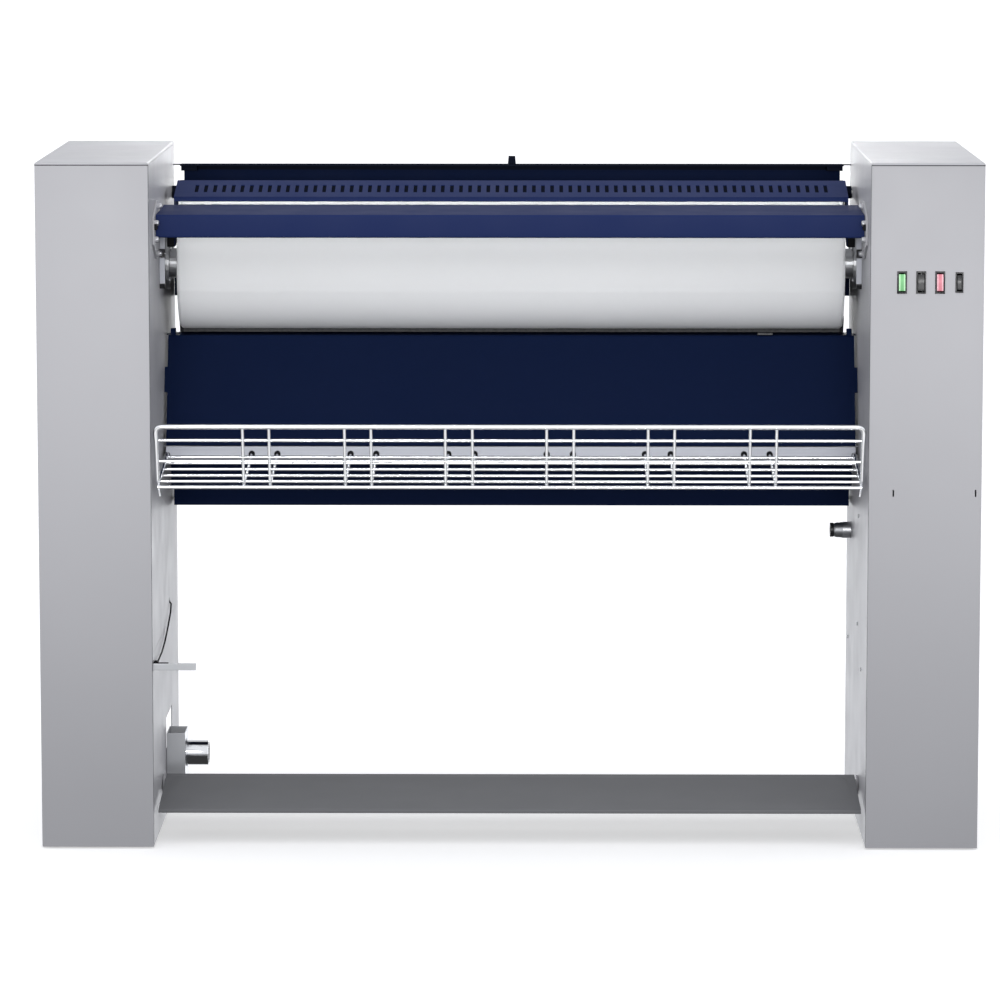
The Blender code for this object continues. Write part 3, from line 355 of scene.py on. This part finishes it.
def add_rings(shape, rings, place, closed=False):
    """Skins a stack of rings, each a list of local points, or one point where it comes together."""
    made = [[shape.verts.new(place @ Vector(point)) for point in ring] for ring in rings]
    pairs = list(zip(made, made[1:]))
    if closed:
        pairs.append((made[-1], made[0]))
    for first, second in pairs:
        count = max(len(first), len(second))
        for i in range(count):
            corners = [first[i % len(first)], first[(i + 1) % len(first)]]
            corners += [second[(i + 1) % len(second)], second[i % len(second)]]
            shape.faces.new(list(dict.fromkeys(corners)))
    return made


def add_prism(shape, outline, ends):
    """Draws a (y, z) outline out along X."""
    rings = [[(x, y, z) for y, z in outline] for x in ends]
    made = add_rings(shape, rings, Matrix.Identity(4))
    for cap in (made[0], made[-1]):
        shape.faces.new(cap)


def prisms(name, parts, slot, body, edge=0.0005, replaces=()):
    """Solids of sheet or bar with rounded edges, each an (outline, ends) pair, as one piece."""
    shape = bmesh.new()
    for outline, ends in parts:
        add_prism(shape, outline, ends)
    return softened(add_piece(name, to_mesh(name, shape), slot, body, replaces), edge)


def chamfered(low, high, cut):
    """A (y, z) rectangle with its corners cut off."""
    (y0, z0), (y1, z1) = low, high
    return [
        (y0 + cut, z0),
        (y1 - cut, z0),
        (y1, z0 + cut),
        (y1, z1 - cut),
        (y1 - cut, z1),
        (y0 + cut, z1),
        (y0, z1 - cut),
        (y0, z0 + cut),
    ]


def ring(height, radius, steps, form=None):
    """A ring of points round Z at a height. form maps an angle to a factor on the radius."""
    if radius == 0:
        return [(0, 0, height)]
    points = []
    for i in range(steps):
        angle = 2 * math.pi * i / steps
        reach = radius * (form(angle) if form else 1)
        points.append((reach * math.cos(angle), reach * math.sin(angle), height))
    return points


def hexagon(angle):
    """The reach of a hexagon whose corners are at 1."""
    return math.cos(math.pi / 6) / math.cos(angle % (math.pi / 3) - math.pi / 6)


def lathe(name, profile, places, slot, body, replaces=(), steps=64, closed=False):
    """A turned form from (height, radius) pairs, round the Z axis of each frame."""
    shape = bmesh.new()
    for place in places:
        add_rings(shape, [ring(height, radius, steps) for height, radius in profile], place, closed)
    return add_piece(name, to_mesh(name, shape), slot, body, replaces)


def add_head(shape, spot, direction, radius, outside, socket):
    """A screw head with a hexagon socket, from (height, radius) pairs in shares of its radius."""
    rings = [ring(h * radius, r * radius, SCREW_STEPS) for h, r in outside]
    rings += [ring(h * radius, r * radius, SCREW_STEPS, hexagon) for h, r in socket]
    rings.append(ring(socket[-1][0] * radius, 0, SCREW_STEPS))
    add_rings(shape, rings, along(spot, direction))


def add_screw(shape, spot, direction, radius):
    """A button-head screw."""
    outside = ((0, 1), (0.2, 1), (0.55, 0.85), (0.7, 0.6))
    add_head(shape, spot, direction, radius, outside, ((0.7, 0.45), (0.25, 0.42)))


def add_countersunk(shape, spot, direction, radius):
    """A flat-head screw, low enough to lie in its pocket."""
    outside = ((0, 0.7), (0.25, 1), (0.44, 1), (0.46, 0.97))
    add_head(shape, spot, direction, radius, outside, ((0.46, 0.48), (0.1, 0.45)))


def sink(piece, spots, direction, radius, depth):
    """Cuts round pockets into a flat panel, so that screw heads lie flush."""
    outside = 0.01
    shape = bmesh.new()
    for spot in spots:
        corners = ((-depth, 0), (-depth, radius), (outside, radius), (outside, 0))
        rings = [ring(height, reach, SCREW_STEPS) for height, reach in corners]
        add_rings(shape, rings, along(spot, direction))
    cutter = bpy.data.objects.new("cutter", to_mesh("cutter", shape))
    bpy.context.scene.collection.objects.link(cutter)
    piece.modifiers.clear()
    pocket = piece.modifiers.new("Pockets", "BOOLEAN")
    pocket.object = cutter
    pocket.solver = "EXACT"
    graph = bpy.context.evaluated_depsgraph_get()
    piece.data = bpy.data.meshes.new_from_object(piece.evaluated_get(graph))
    piece.data.shade_flat()
    piece.modifiers.clear()
    bpy.data.objects.remove(cutter)


def fasteners(name, add, spots, direction, radius, slot="zinc_steel", body="cabinet"):
    """A set of like fasteners that face the same way."""
    shape = bmesh.new()
    for spot in spots:
        add(shape, spot, direction, radius)
    return add_piece(name, to_mesh(name, shape), slot, body)


def bent(points, radius, count=6):
    """The path through the points with a smooth bend at each inner corner."""
    path = [Vector(points[0])]
    for before, corner, after in zip(points, points[1:], points[2:]):
        corner = Vector(corner)
        back, ahead = Vector(before) - corner, Vector(after) - corner
        inset = min(radius, back.length / 2, ahead.length / 2)
        for i in range(count + 1):
            t = i / count
            path.append(
                corner + back.normalized() * inset * (1 - t) ** 2 + ahead.normalized() * inset * t**2
            )
    path.append(Vector(points[-1]))
    return path


def wires(name, runs, slot, body, replaces=(), sides=4):
    """Round wires, each a (path, radius) pair, as one curve object."""
    curve = bpy.data.curves.new(name, "CURVE")
    curve.dimensions = "3D"
    curve.bevel_depth = 1.0
    curve.bevel_resolution = sides
    curve.use_fill_caps = True
    for path, radius in runs:
        spline = curve.splines.new("POLY")
        spline.points.add(len(path) - 1)
        for point, spot in zip(spline.points, path):
            point.co = (*spot, 1)
            point.radius = radius
        spline.use_smooth = True
    return add_piece(name, curve, slot, body, replaces)


# Pedestals

SIDES = ((-1, "left"), (1, "right"))
for _, word in SIDES:
    for panel in ("front_panel", "back_panel", "inner_panel", "outer_panel"):
        rounded_copy(f"{word}_{panel}", 0.0005, 2)
    rounded_copy(f"{word}_base_frame", 0.0008, 2)
rounded_copy("left_service_panel", 0.0005, 2)

# Screws of the back panels, in shallow pockets
BACK_SCREW_RADIUS = 0.0042
BACK_SCREW_DEPTH = 0.0008
BACK_SCREW_INSET = 0.014
BACK_SCREW_HEIGHTS = (0.045, 0.30, 0.62, 0.94, 1.07)
POCKET_DEPTH = 0.0009
back_low, back_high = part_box("right_back_panel")
for side, word in SIDES:
    columns = [side * (back_low.x + BACK_SCREW_INSET), side * (back_high.x - BACK_SCREW_INSET)]
    spots = [(x, back_high.y, z) for x in columns for z in BACK_SCREW_HEIGHTS]
    pocket_radius = BACK_SCREW_RADIUS + 0.0004
    sink(PIECES[word + "_back_panel_finished"], spots, (0, 1, 0), pocket_radius, POCKET_DEPTH)
    sunk = [(x, y - BACK_SCREW_DEPTH - 0.3 * BACK_SCREW_RADIUS, z) for x, y, z in spots]
    fasteners(word + "_back_screws", add_countersunk, sunk, (0, 1, 0), BACK_SCREW_RADIUS)

# Screws in the face of the right inner panel, at (y, z)
INNER_SCREWS = ((-0.036, 0.506), (-0.036, 0.328), (0.220, 0.266), (-0.133, 0.268))
INNER_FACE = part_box("right_inner_panel")[0].x
inner_spots = [(INNER_FACE + 0.0002, y, z) for y, z in INNER_SCREWS]
fasteners("right_inner_screws", add_screw, inner_spots, (-1, 0, 0), 0.0032)

for corner in ("left_front", "left_rear", "right_front", "right_rear"):
    low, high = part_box(corner + "_foot")
    centre = (low + high) / 2
    pad = [(0.0, 0.0), (0.0, 0.0185), (0.0015, 0.020), (0.005, 0.020), (0.008, 0.0165), (0.008, 0.0075)]
    stud = [(0.0105, 0.0075), (0.0105, 0.005), (high.z - 0.001, 0.005), (high.z, 0.004), (high.z, 0.0)]
    lathe(
        corner + "_levelling_foot",
        pad + stud,
        [along((centre.x, centre.y, 0), (0, 0, 1))],
        "black_rubber",
        "cabinet",
        [corner + "_foot"],
        48,
    )

# Roll

# The cloth's rounded rim, its thickness, and the lap where its end lies over itself
RIM = 0.006
PADDING_THICKNESS = 0.0034
LAP_ANGLE = math.radians(200)
LAP_HEIGHT = 0.0006
LAP_WIDTH = math.radians(6)


def lap(angle):
    """Raises the cloth a little where its end lies over itself."""
    past = (angle - LAP_ANGLE) % (2 * math.pi)
    step = LAP_HEIGHT / ROLL_RADIUS
    return 1 - step + step * max(0.0, 1 - past / LAP_WIDTH)


def roll_cloth():
    """The cloth over its padding, drawn in round both rims, with a lap along its length."""
    turns = (0, 0.3, 0.6, 0.9, 1.2, math.pi / 2)
    edge = [(RIM * (1 - math.cos(t)), RIM * (1 - math.sin(t))) for t in turns]
    inner = ROLL_RADIUS - PADDING_THICKNESS
    outside = [(-ROLL_HALF + back, ROLL_RADIUS - drop) for back, drop in edge]
    outside = [(x, max(radius, inner)) for x, radius in outside]
    middle = [(-ROLL_HALF + ROLL_HALF * 2 * i / 12, ROLL_RADIUS) for i in range(1, 12)]
    profile = [(-ROLL_HALF, inner), *outside, *middle]
    profile += [(-x, radius) for x, radius in reversed(outside)] + [(ROLL_HALF, inner)]
    shape = bmesh.new()
    place = along((0, ROLL_Y, ROLL_Z), (1, 0, 0))
    rings = [ring(x, radius, 180, lap) for x, radius in profile]
    add_rings(shape, rings, place, closed=True)
    cloth = add_piece("roll_cloth", to_mesh("roll_cloth", shape), "roll_cloth", "roll", ["roll_padding"])


roll_cloth()


# Straps on the inner panels, bent round a centre that lies forward of the roll's axis and above it
STRAP_FORWARD, STRAP_RAISE = 0.060, 0.0055
STRAP_RADIUS = 0.105
STRAP_X = 0.5610

# Parts on the inner panels end just clear of them
PANEL_FACE = INNER_FACE - 0.0003

# Face of the bearings' flanges, and how far their screws lie from the axis
FLANGE_X = 0.564
FLANGE_SCREW_REACH = 0.0365


def around_roll(radius, degrees):
    """The (y, z) spot at a radius from the straps' centre, so many degrees above its front."""
    angle = math.radians(degrees)
    depth, height = ROLL_Y - STRAP_FORWARD, ROLL_Z + STRAP_RAISE
    return depth - radius * math.cos(angle), height + radius * math.sin(angle)


def roll_strap(side, start, end, half):
    """The outline of a bent flat bar of a half thickness between two angles, and its place along X."""
    angles = [start + (end - start) * i / 8 for i in range(9)]
    outline = [around_roll(STRAP_RADIUS + half, angle) for angle in angles]
    outline += [around_roll(STRAP_RADIUS - half, angle) for angle in reversed(angles)]
    return outline, sorted((side * STRAP_X, side * PANEL_FACE))


for side, word in SIDES:
    bars = [roll_strap(side, -14, 9, 0.0015), roll_strap(side, 17, 33, 0.0015)]
    # The straps take the pale paint as a painted reflection: it stands in for the bright shine of plated
    # strap metal, even in the board's shadow
    prisms(word + "_roll_strap", bars, "ledge_paint", "cabinet")
    prisms(word + "_strap_joint", [roll_strap(side, 9.5, 16.5, 0.0035)], "black_plastic", "cabinet")
    prisms(word + "_strap_lug", [roll_strap(side, -18, -14.5, 0.0045)], "black_plastic", "cabinet")
    spot = (side * (STRAP_X + 0.0002), *around_roll(STRAP_RADIUS, 13))
    fasteners(word + "_strap_screw", add_screw, [spot], (-side, 0, 0), 0.0028)
    flange_spots = []
    for degrees in (45, 135, 225, 315):
        angle = math.radians(degrees)
        depth = ROLL_Y + FLANGE_SCREW_REACH * math.cos(angle)
        flange_spots.append((side * FLANGE_X, depth, ROLL_Z + FLANGE_SCREW_REACH * math.sin(angle)))
    fasteners(word + "_flange_screws", add_screw, flange_spots, (-side, 0, 0), 0.0042)

# Sheet parts between the pedestals

for node in ("feed_board", "exit_chute", "tray_ledge", "lower_cover", "rear_cover", "rear_trim"):
    rounded_copy(node, 0.0006)
rounded_copy("pedal_board", 0.0012)
for node in ("slotted_guard", "catch_tab", "exhaust_box", "control_box", "lever_bracket"):
    rounded_copy(node, 0.0004, 2)

# Faces of the plain screw heads on the board brackets, and (y, z) spots of those screws and of the shafts
PLAIN_HEAD_X = 0.5627
BOARD_SCREWS = ((-0.198, 0.998), (-0.198, 0.972), (-0.127, 1.020), (-0.138, 0.945))
CHEST_SHAFT = (0.228, 1.018)
GUARD_PIVOT = (0.110, 0.985)
PEDAL_SHAFT = (-0.075, 0.066)
for side, word in SIDES:
    # The feed board's bracket, its finished screws, and a rubber buffer on its face
    rounded_copy(word + "_board_bracket", 0.0003, 2)
    spots = [(side * (PLAIN_HEAD_X + 0.0002), y, z) for y, z in BOARD_SCREWS]
    fasteners(word + "_board_screws", add_screw, spots, (-side, 0, 0), 0.0046)
    block = chamfered((-0.2055, 0.9870), (-0.1800, 0.9970), 0.001)
    ends = (side * PLAIN_HEAD_X, side * PANEL_FACE)
    prisms(word + "_board_buffer", [(block, ends)], "black_rubber", "cabinet")

    # A rubber cap over the guard's stop block, with a nut below it
    cap = chamfered((0.0312, 0.9415), (0.0450, 0.9668), 0.0012)
    prisms(word + "_stop_cap", [(cap, (side * 0.5520, side * 0.5640))], "black_rubber", "guard")
    lathe(
        word + "_stop_nut",
        [(0, 0), (0, 0.0042), (0.0022, 0.0042), (0.0030, 0.0036), (0.0030, 0)],
        [along((side * 0.5580, 0.0385, 0.9386), (0, 0, 1))],
        "zinc_steel",
        "guard",
        steps=24,
    )

    # A corner piece that closes the chute's top end
    corner = [(0.0500, 0.7939), (0.0700, 0.7932), (0.0680, 0.8045), (0.0600, 0.8045)]
    prisms(word + "_chute_corner", [(corner, (side * 0.5530, side * 0.5615))], "dark_navy_paint", "cabinet")

    # A black sleeve on the chest's shaft between its end plate and the panel, as painted shade over the
    # shaft there
    lathe(
        word + "_shaft_shade_sleeve",
        [(0, 0.0089), (0, 0.0105), (0.0135, 0.0105), (0.0135, 0.0089)],
        [along((side * 0.5557, *CHEST_SHAFT), (side, 0, 0))],
        "black_paint",
        "chest",
        steps=32,
        closed=True,
    )

    # A black sleeve on the guard's pivot pin, as painted shade over the pin there
    lathe(
        word + "_guard_pin_shade_sleeve",
        [(0, 0.0049), (0, 0.0075), (0.0010, 0.0085), (0.0160, 0.0085), (0.0170, 0.0075), (0.0170, 0.0049)],
        [along((side * 0.5526, *GUARD_PIVOT), (side, 0, 0))],
        "black_rubber",
        "guard",
        steps=24,
        closed=True,
    )

    # A bush round the pedal's shaft
    lathe(
        word + "_pedal_bush",
        [(0, 0.0095), (0, 0.0150), (0.0006, 0.0165), (0.0030, 0.0165), (0.0030, 0.0095)],
        [along((side * PANEL_FACE, *PEDAL_SHAFT), (-side, 0, 0))],
        "pedestal_paint",
        "cabinet",
        steps=40,
        closed=True,
    )

# A dark strip under the guard's slots, 0.9 mm thick, put there as painted shade: it makes the slots read
# dark as the shade inside them would
lining = [(0.0540, 1.0268), (0.1000, 1.0375), (0.1000, 1.0366), (0.0540, 1.0259)]
prisms("guard_slot_shade_strip", [(lining, (-0.5480, 0.5480))], "black_paint", "guard", 0.0002)

# A clip on the chute's top, under the roll
clip = chamfered((0.0500, 0.7945), (0.0620, 0.7985), 0.0008)
prisms("chute_clip", [(clip, (0.4060, 0.4310))], "black_plastic", "cabinet")

# A dark strip behind the joint of the rear cover and its trim, as painted shade under the trim's lip, and
# darker clips at the trim's ends
rear_low, rear_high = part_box("rear_cover")
joint_low = (rear_high.y + 0.0002, rear_high.z - 0.006)
joint = chamfered(joint_low, (rear_high.y + 0.0014, rear_high.z + 0.006), 0.0003)
prisms("rear_joint_shade_strip", [(joint, (-0.5515, 0.5515))], "dark_navy_paint", "cabinet", 0.0002)
for side, word in SIDES:
    clip_low = (rear_low.y - 0.030, rear_high.z + 0.0012)
    clip = chamfered(clip_low, (rear_low.y + 0.0068, rear_high.z + 0.0095), 0.0008)
    prisms(word + "_trim_clip", [(clip, (side * 0.528, side * 0.5545))], "black_paint", "cabinet")

# Services


def spigot():
    """The spun spigot with its foot and its rolled end."""
    low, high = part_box("exhaust_spigot")
    centre, radius = (low + high) / 2, (high.z - low.z) / 2
    reach = high.x - low.x
    tube_radius, wall = radius - 0.002, 0.0025
    profile = [
        (0, tube_radius - wall),
        (0, radius),
        (0.0020, radius),
        (0.0026, tube_radius),
        (reach - 0.0012, tube_radius),
        (reach - 0.0003, tube_radius - 0.0004),
        (reach, tube_radius - 0.0012),
        (reach, tube_radius - wall),
    ]
    place = along((low.x, centre.y, centre.z), (1, 0, 0))
    replaced = ["exhaust_spigot"]
    lathe("exhaust_spigot_spun", profile, [place], "chrome_tube", "cabinet", replaced, 72, closed=True)


def gland():
    """The gland's ribbed nut, its tapered body and its sealing cap."""
    low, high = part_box("conduit_gland")
    centre = (low + high) / 2
    bore = 0.005
    body = [
        (0.0065, bore),
        (0.0065, 0.0108),
        (0.0075, 0.0115),
        (0.0100, 0.0125),
        (0.0200, 0.0132),
        (0.0210, 0.0138),
        (0.0330, 0.0138),
        (0.0347, 0.0140),
        (0.0347, 0.0100),
        (high.x - low.x, 0.0100),
        (high.x - low.x, bore),
    ]
    cap = [(0, bore), (0, 0.0112), (0.0006, 0.0119), (0.0055, 0.0119), (0.0064, 0.0112), (0.0064, bore)]
    place = along((low.x, centre.y, centre.z), (1, 0, 0))
    lathe("conduit_gland_body", body, [place], "zinc_steel", "cabinet", ["conduit_gland"], 48, closed=True)
    lathe("conduit_gland_cap", cap, [place], "black_plastic", "cabinet", steps=48, closed=True)


def cable_boot():
    """The rubber boot on the release cable, tapering away from the lever."""
    wide = [(0, 0), (0, 0.0030), (0.0010, 0.0038), (0.0060, 0.0038)]
    narrow = [(0.0200, 0.0026), (0.0420, 0.0019), (0.0420, 0)]
    place = along((-0.5655, -0.2660, 0.2990), (0, 0.0315, -0.0030))
    lathe("cable_boot", wide + narrow, [place], "black_rubber", "cabinet", steps=24)


spigot()
gland()
cable_boot()

# The release lever, and a black strip on its top as painted shade: the shadow line along the lever's top
# edge
rounded_copy("release_lever", 0.0006)
lever_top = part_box("release_lever")[1].z
strip = chamfered((-0.2722, lever_top - 0.0002), (-0.2678, lever_top + 0.0012), 0.0003)
prisms("lever_top_shade_strip", [(strip, (-0.5690, -0.5450))], "black_rubber", "release_lever", 0.0002)

# Dark strips at the joints of each pedestal's panels, as painted shade in the gaps between them: their
# width, their chamfer and their rounding
SEAM_WIDTH = 0.0014
SEAM_CUT = 0.0001
SEAM_EDGE = 0.00005
front_low, front_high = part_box("right_front_panel")
seam_low = front_high.z - 0.0002
for side, word in SIDES:
    seam_back = (front_low.y + 0.0016, seam_low + SEAM_WIDTH)
    seam = chamfered((front_low.y - 0.0001, seam_low), seam_back, SEAM_CUT)
    ends = (side * front_low.x, side * front_high.x)
    prisms(word + "_top_seam_shade", [(seam, ends)], "black_rubber", "cabinet", SEAM_EDGE)
    edge = chamfered((front_high.y + 0.0006, front_low.z), (front_high.y + 0.0034, front_high.z), SEAM_CUT)
    ends = (side * (front_low.x - 0.0002), side * (front_low.x + 0.0006))
    prisms(word + "_corner_seam_shade", [(edge, ends)], "black_rubber", "cabinet", SEAM_EDGE)

# Wire tray

# Radii of the rail, the wires, the bottom rail and the end hooks, then (y, z) spots of the tray's side view,
# how far the floor's long wires lie above the cross wires' middle line, and where the cross wires stand
RAIL_RADIUS = 0.004
WIRE_RADIUS = 0.0025
BOTTOM_RADIUS = 0.003
HOOK_RADIUS = 0.0028
RAIL_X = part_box("wire_tray")[1].x - RAIL_RADIUS
RAIL = (-0.281, 0.681)
FLOOR_FRONT = (-0.249, 0.5815)
FLOOR_BACK = (-0.0219, 0.6062)
END_BEND = (-0.245, 0.585)
BOTTOM_RAIL = (-0.2497, 0.5805)
HOOK = ((-0.2435, 0.5875), (-0.2490, 0.5790), (-0.2470, 0.5660))
FRONT_WIRES = ((-0.2705, 0.658), (-0.2575, 0.623))
FLOOR_WIRES = (-0.232, -0.192, -0.149, -0.106, -0.065)
WIRE_STEP = 0.0042
CROSS_WIRES = (0.059, 0.102, 0.220, 0.262, 0.382, 0.424)


def floor_height(y):
    """Height of the cross wires' middle line at a depth in the tray."""
    share = (y - FLOOR_FRONT[0]) / (FLOOR_BACK[0] - FLOOR_FRONT[0])
    return FLOOR_FRONT[1] + share * (FLOOR_BACK[1] - FLOOR_FRONT[1])


def tray():
    """The rail with its ends and hooks, the long wires and the bent cross wires."""
    rail_end = (-0.030, floor_height(-0.030) + 0.0015)
    runs = []
    for side in (-1, 1):
        corners = [(side * RAIL_X, *spot) for spot in (rail_end, END_BEND, RAIL)]
        hook = [(side * x, *spot) for x, spot in zip((0.5605, 0.5605, 0.5585), HOOK)]
        runs.append((bent([*corners, (0, *RAIL)], 0.011), RAIL_RADIUS))
        runs.append((bent(hook, 0.006), HOOK_RADIUS))
    reach = RAIL_X - 0.0005
    long_wires = [
        *[(y, z, RAIL_X + 0.002, WIRE_RADIUS) for y, z in FRONT_WIRES],
        (*BOTTOM_RAIL, reach, BOTTOM_RADIUS),
        *[(y, floor_height(y) + WIRE_STEP, reach, WIRE_RADIUS) for y in FLOOR_WIRES],
    ]
    for y, z, end, radius in long_wires:
        runs.append(([(-end, y, z), (end, y, z)], radius))
    for x in CROSS_WIRES:
        for side in (-1, 1):
            path = [(side * x, *spot) for spot in (RAIL, FLOOR_FRONT, FLOOR_BACK)]
            runs.append((bent(path, 0.012), WIRE_RADIUS))
    wires("wire_tray_finished", runs, "chrome_wire", "tray", ["wire_tray"])


tray()

# Rubber barrels on the tray's wires, turning in the ledge's holes, and on the end rails before the ledge
HINGE = (-0.0254, 0.606)
BARREL = [(0.0047, 0), (0.0045, 0.0018), (0.0035, 0.0034), (0.0018, 0.0041)]
barrel = BARREL + [(-x, radius) for x, radius in reversed(BARREL)]
places = [along((side * x, *HINGE), (1, 0, 0)) for x in CROSS_WIRES for side in (-1, 1)]
places += [along((side * RAIL_X, HINGE[0] - 0.0100, HINGE[1]), (1, 0, 0)) for side in (-1, 1)]
lathe("wire_barrels", barrel, places, "black_rubber", "tray", steps=20)

# Switches

# How far a rocker's face is tipped and hollowed
ROCKERS = ("start_rocker", "speed_rocker", "stop_rocker", "heat_rocker")
ROCKER_TIP = 0.0026
ROCKER_HOLLOW = 0.0016


def rocker(node):
    """A rocker cap with a hollowed face, tipped as the CAD node is."""
    low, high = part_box(node)
    middle = (low.z + high.z) / 2
    tall = (high.z - low.z) / 2
    face = []
    for i in range(13):
        t = -1 + 2 * i / 12
        depth = ROCKER_TIP * (1 - t) / 2 + ROCKER_HOLLOW * (1 - t**2) - 0.0002
        face.append((low.y + ROCKER_TIP - min(depth, ROCKER_TIP), middle + t * tall))
    back = [(high.y - 0.006, middle + tall * 0.75), (high.y, middle + 0.003)]
    outline = face + back + [(y, 2 * middle - z) for y, z in reversed(back)]
    shape = bmesh.new()
    add_prism(shape, outline, (low.x, high.x))
    mesh = to_mesh(node + "_cap", shape)
    cap = add_piece(node + "_cap", mesh, SLOT_OF[node], BODY_OF[node], [node])
    bevel = cap.modifiers.new("Rounded edges", "BEVEL")
    bevel.width = 0.0005
    bevel.segments = 3
    bevel.limit_method = "ANGLE"


for node in ROCKERS:
    rocker(node)
rounded_copy("switch_carrier", 0.0005)

# Floor, light and size

# A round pale floor that turns up into a wall and a dome, so that it closes the view on every side
FLOOR_RADIUS, COVE_RADIUS, WALL_HEIGHT = 14.0, 3.0, 14.0
corners = [(0, 0, 0), (FLOOR_RADIUS, 0, 0), (FLOOR_RADIUS, 0, WALL_HEIGHT), (0, 0, WALL_HEIGHT)]
cove = bent(corners, COVE_RADIUS, 24)
floor = bmesh.new()
add_rings(floor, [ring(spot.z, spot.x, 96) for spot in cove], Matrix.Identity(4))
floor_mesh = to_mesh("studio_floor", floor)
floor_mesh.shade_smooth()
studio_floor = bpy.data.objects.new("studio_floor", floor_mesh)
bpy.context.scene.collection.objects.link(studio_floor)
paper = Finish("pale_paper", (0.70, 0.70, 0.71), 0.9, Emission_Color=(1, 1, 1, 1), Emission_Strength=0.5)
paper.shade(paper.noise(0.6, 3), 0.01)
floor_mesh.materials.append(paper.material)
studio_floor.visible_diffuse = False
studio_floor.visible_glossy = False
studio_floor.visible_shadow = False


def softbox(name, spot, aim, width, height, power, spread=180):
    """A rectangular area light that points at a spot and isn't itself seen."""
    data = bpy.data.lights.new(name, "AREA")
    data.shape = "RECTANGLE"
    data.size, data.size_y = width, height
    data.energy = power
    data.spread = math.radians(spread)
    lamp = bpy.data.objects.new(name, data)
    lamp.location = spot
    lamp.rotation_mode = "QUATERNION"
    lamp.rotation_quaternion = (Vector(aim) - Vector(spot)).to_track_quat("-Z", "Y")
    lamp.visible_camera = False
    bpy.context.scene.collection.objects.link(lamp)
    return lamp


def light_only(lamp, name):
    """Keeps a light's shine to one piece."""
    lit = bpy.data.collections.new("lit_" + name)
    lit.objects.link(PIECES[name])
    lamp.light_linking.receiver_collection = lit


softbox("front_softbox", (0.0, -4.2, 1.34), (0.0, -0.286, 0.90), 3.6, 0.5, 6.4, spread=30)
softbox("back_softbox", (0.0, 4.2, 1.3), (0.0, 0.286, 1.3), 3.6, 1.8, 7.5, spread=12)
gap_light = softbox("gap_light", (0.0, -4.2, 1.30), (0.0, 0.066, 1.04), 1.6, 0.1, 1.3, spread=2)
light_only(gap_light, "roll_cloth")

# The white floor in front, as the tray's bright wires mirror it
floor_glow = softbox("floor_glow", (0.0, -1.1, 0.02), (0.0, -1.1, 1.0), 2.8, 1.3, 10.5)
light_only(floor_glow, "wire_tray_finished")

# The studio round the object, as strengths of the sky: the ceiling, the side walls, the front, the back,
# the ground, and the lit sweep behind
CEILING, WALLS, FRONT, BACK, GROUND, SWEEP = 1.0, 1.0, 0.86, 0.7, 0.05, 1.9
world = bpy.data.worlds.new("studio")
bpy.context.scene.world = world
world.use_nodes = True
sky = world.node_tree
sky_nodes, sky_links = sky.nodes, sky.links


def sky_range(value, *limits):
    """Maps a value smoothly from the first two limits to the last two."""
    step = sky_nodes.new("ShaderNodeMapRange")
    step.interpolation_type = "SMOOTHSTEP"
    for socket, limit in zip(("From Min", "From Max", "To Min", "To Max"), limits):
        step.inputs[socket].default_value = limit
    sky_links.new(value, step.inputs["Value"])
    return step.outputs["Result"]


split = sky_nodes.new("ShaderNodeSeparateXYZ")
sky_links.new(sky_nodes.new("ShaderNodeTexCoord").outputs["Generated"], split.inputs["Vector"])
sideways = maths(sky, "POWER", split.outputs["X"], 2)
behind = maths(sky, "SMOOTH_MAX", split.outputs["Y"], 0.0, 0.05)
overhead = maths(sky, "SMOOTH_MAX", split.outputs["Z"], 0.0, 0.05)
strength = maths(sky, "MULTIPLY_ADD", sideways, WALLS - FRONT, FRONT)
strength = maths(sky, "MULTIPLY_ADD", overhead, CEILING - FRONT, strength)
strength = maths(sky, "MULTIPLY_ADD", behind, BACK - FRONT, strength)

# The ground's dark starts lower behind the object than in front of it
height = maths(sky, "MULTIPLY_ADD", behind, 0.6, split.outputs["Z"])
strength = maths(sky, "MULTIPLY", strength, sky_range(height, -0.38, -0.10, GROUND, 1.0))

# The lit sweep is a low band behind the object
lit = sky_range(split.outputs["Z"], -0.12, 0.06, SWEEP, 0.0)
for fade in (sky_range(height, 0.0, 0.3, 0.0, 1.0), sky_range(split.outputs["Z"], -0.32, -0.10, 0.0, 1.0)):
    lit = maths(sky, "MULTIPLY", lit, fade)
strength = maths(sky, "ADD", strength, lit)
sky_links.new(strength, sky_nodes["Background"].inputs["Strength"])
sky_nodes["Background"].inputs["Color"].default_value = (0.975, 0.99, 1.02, 1)
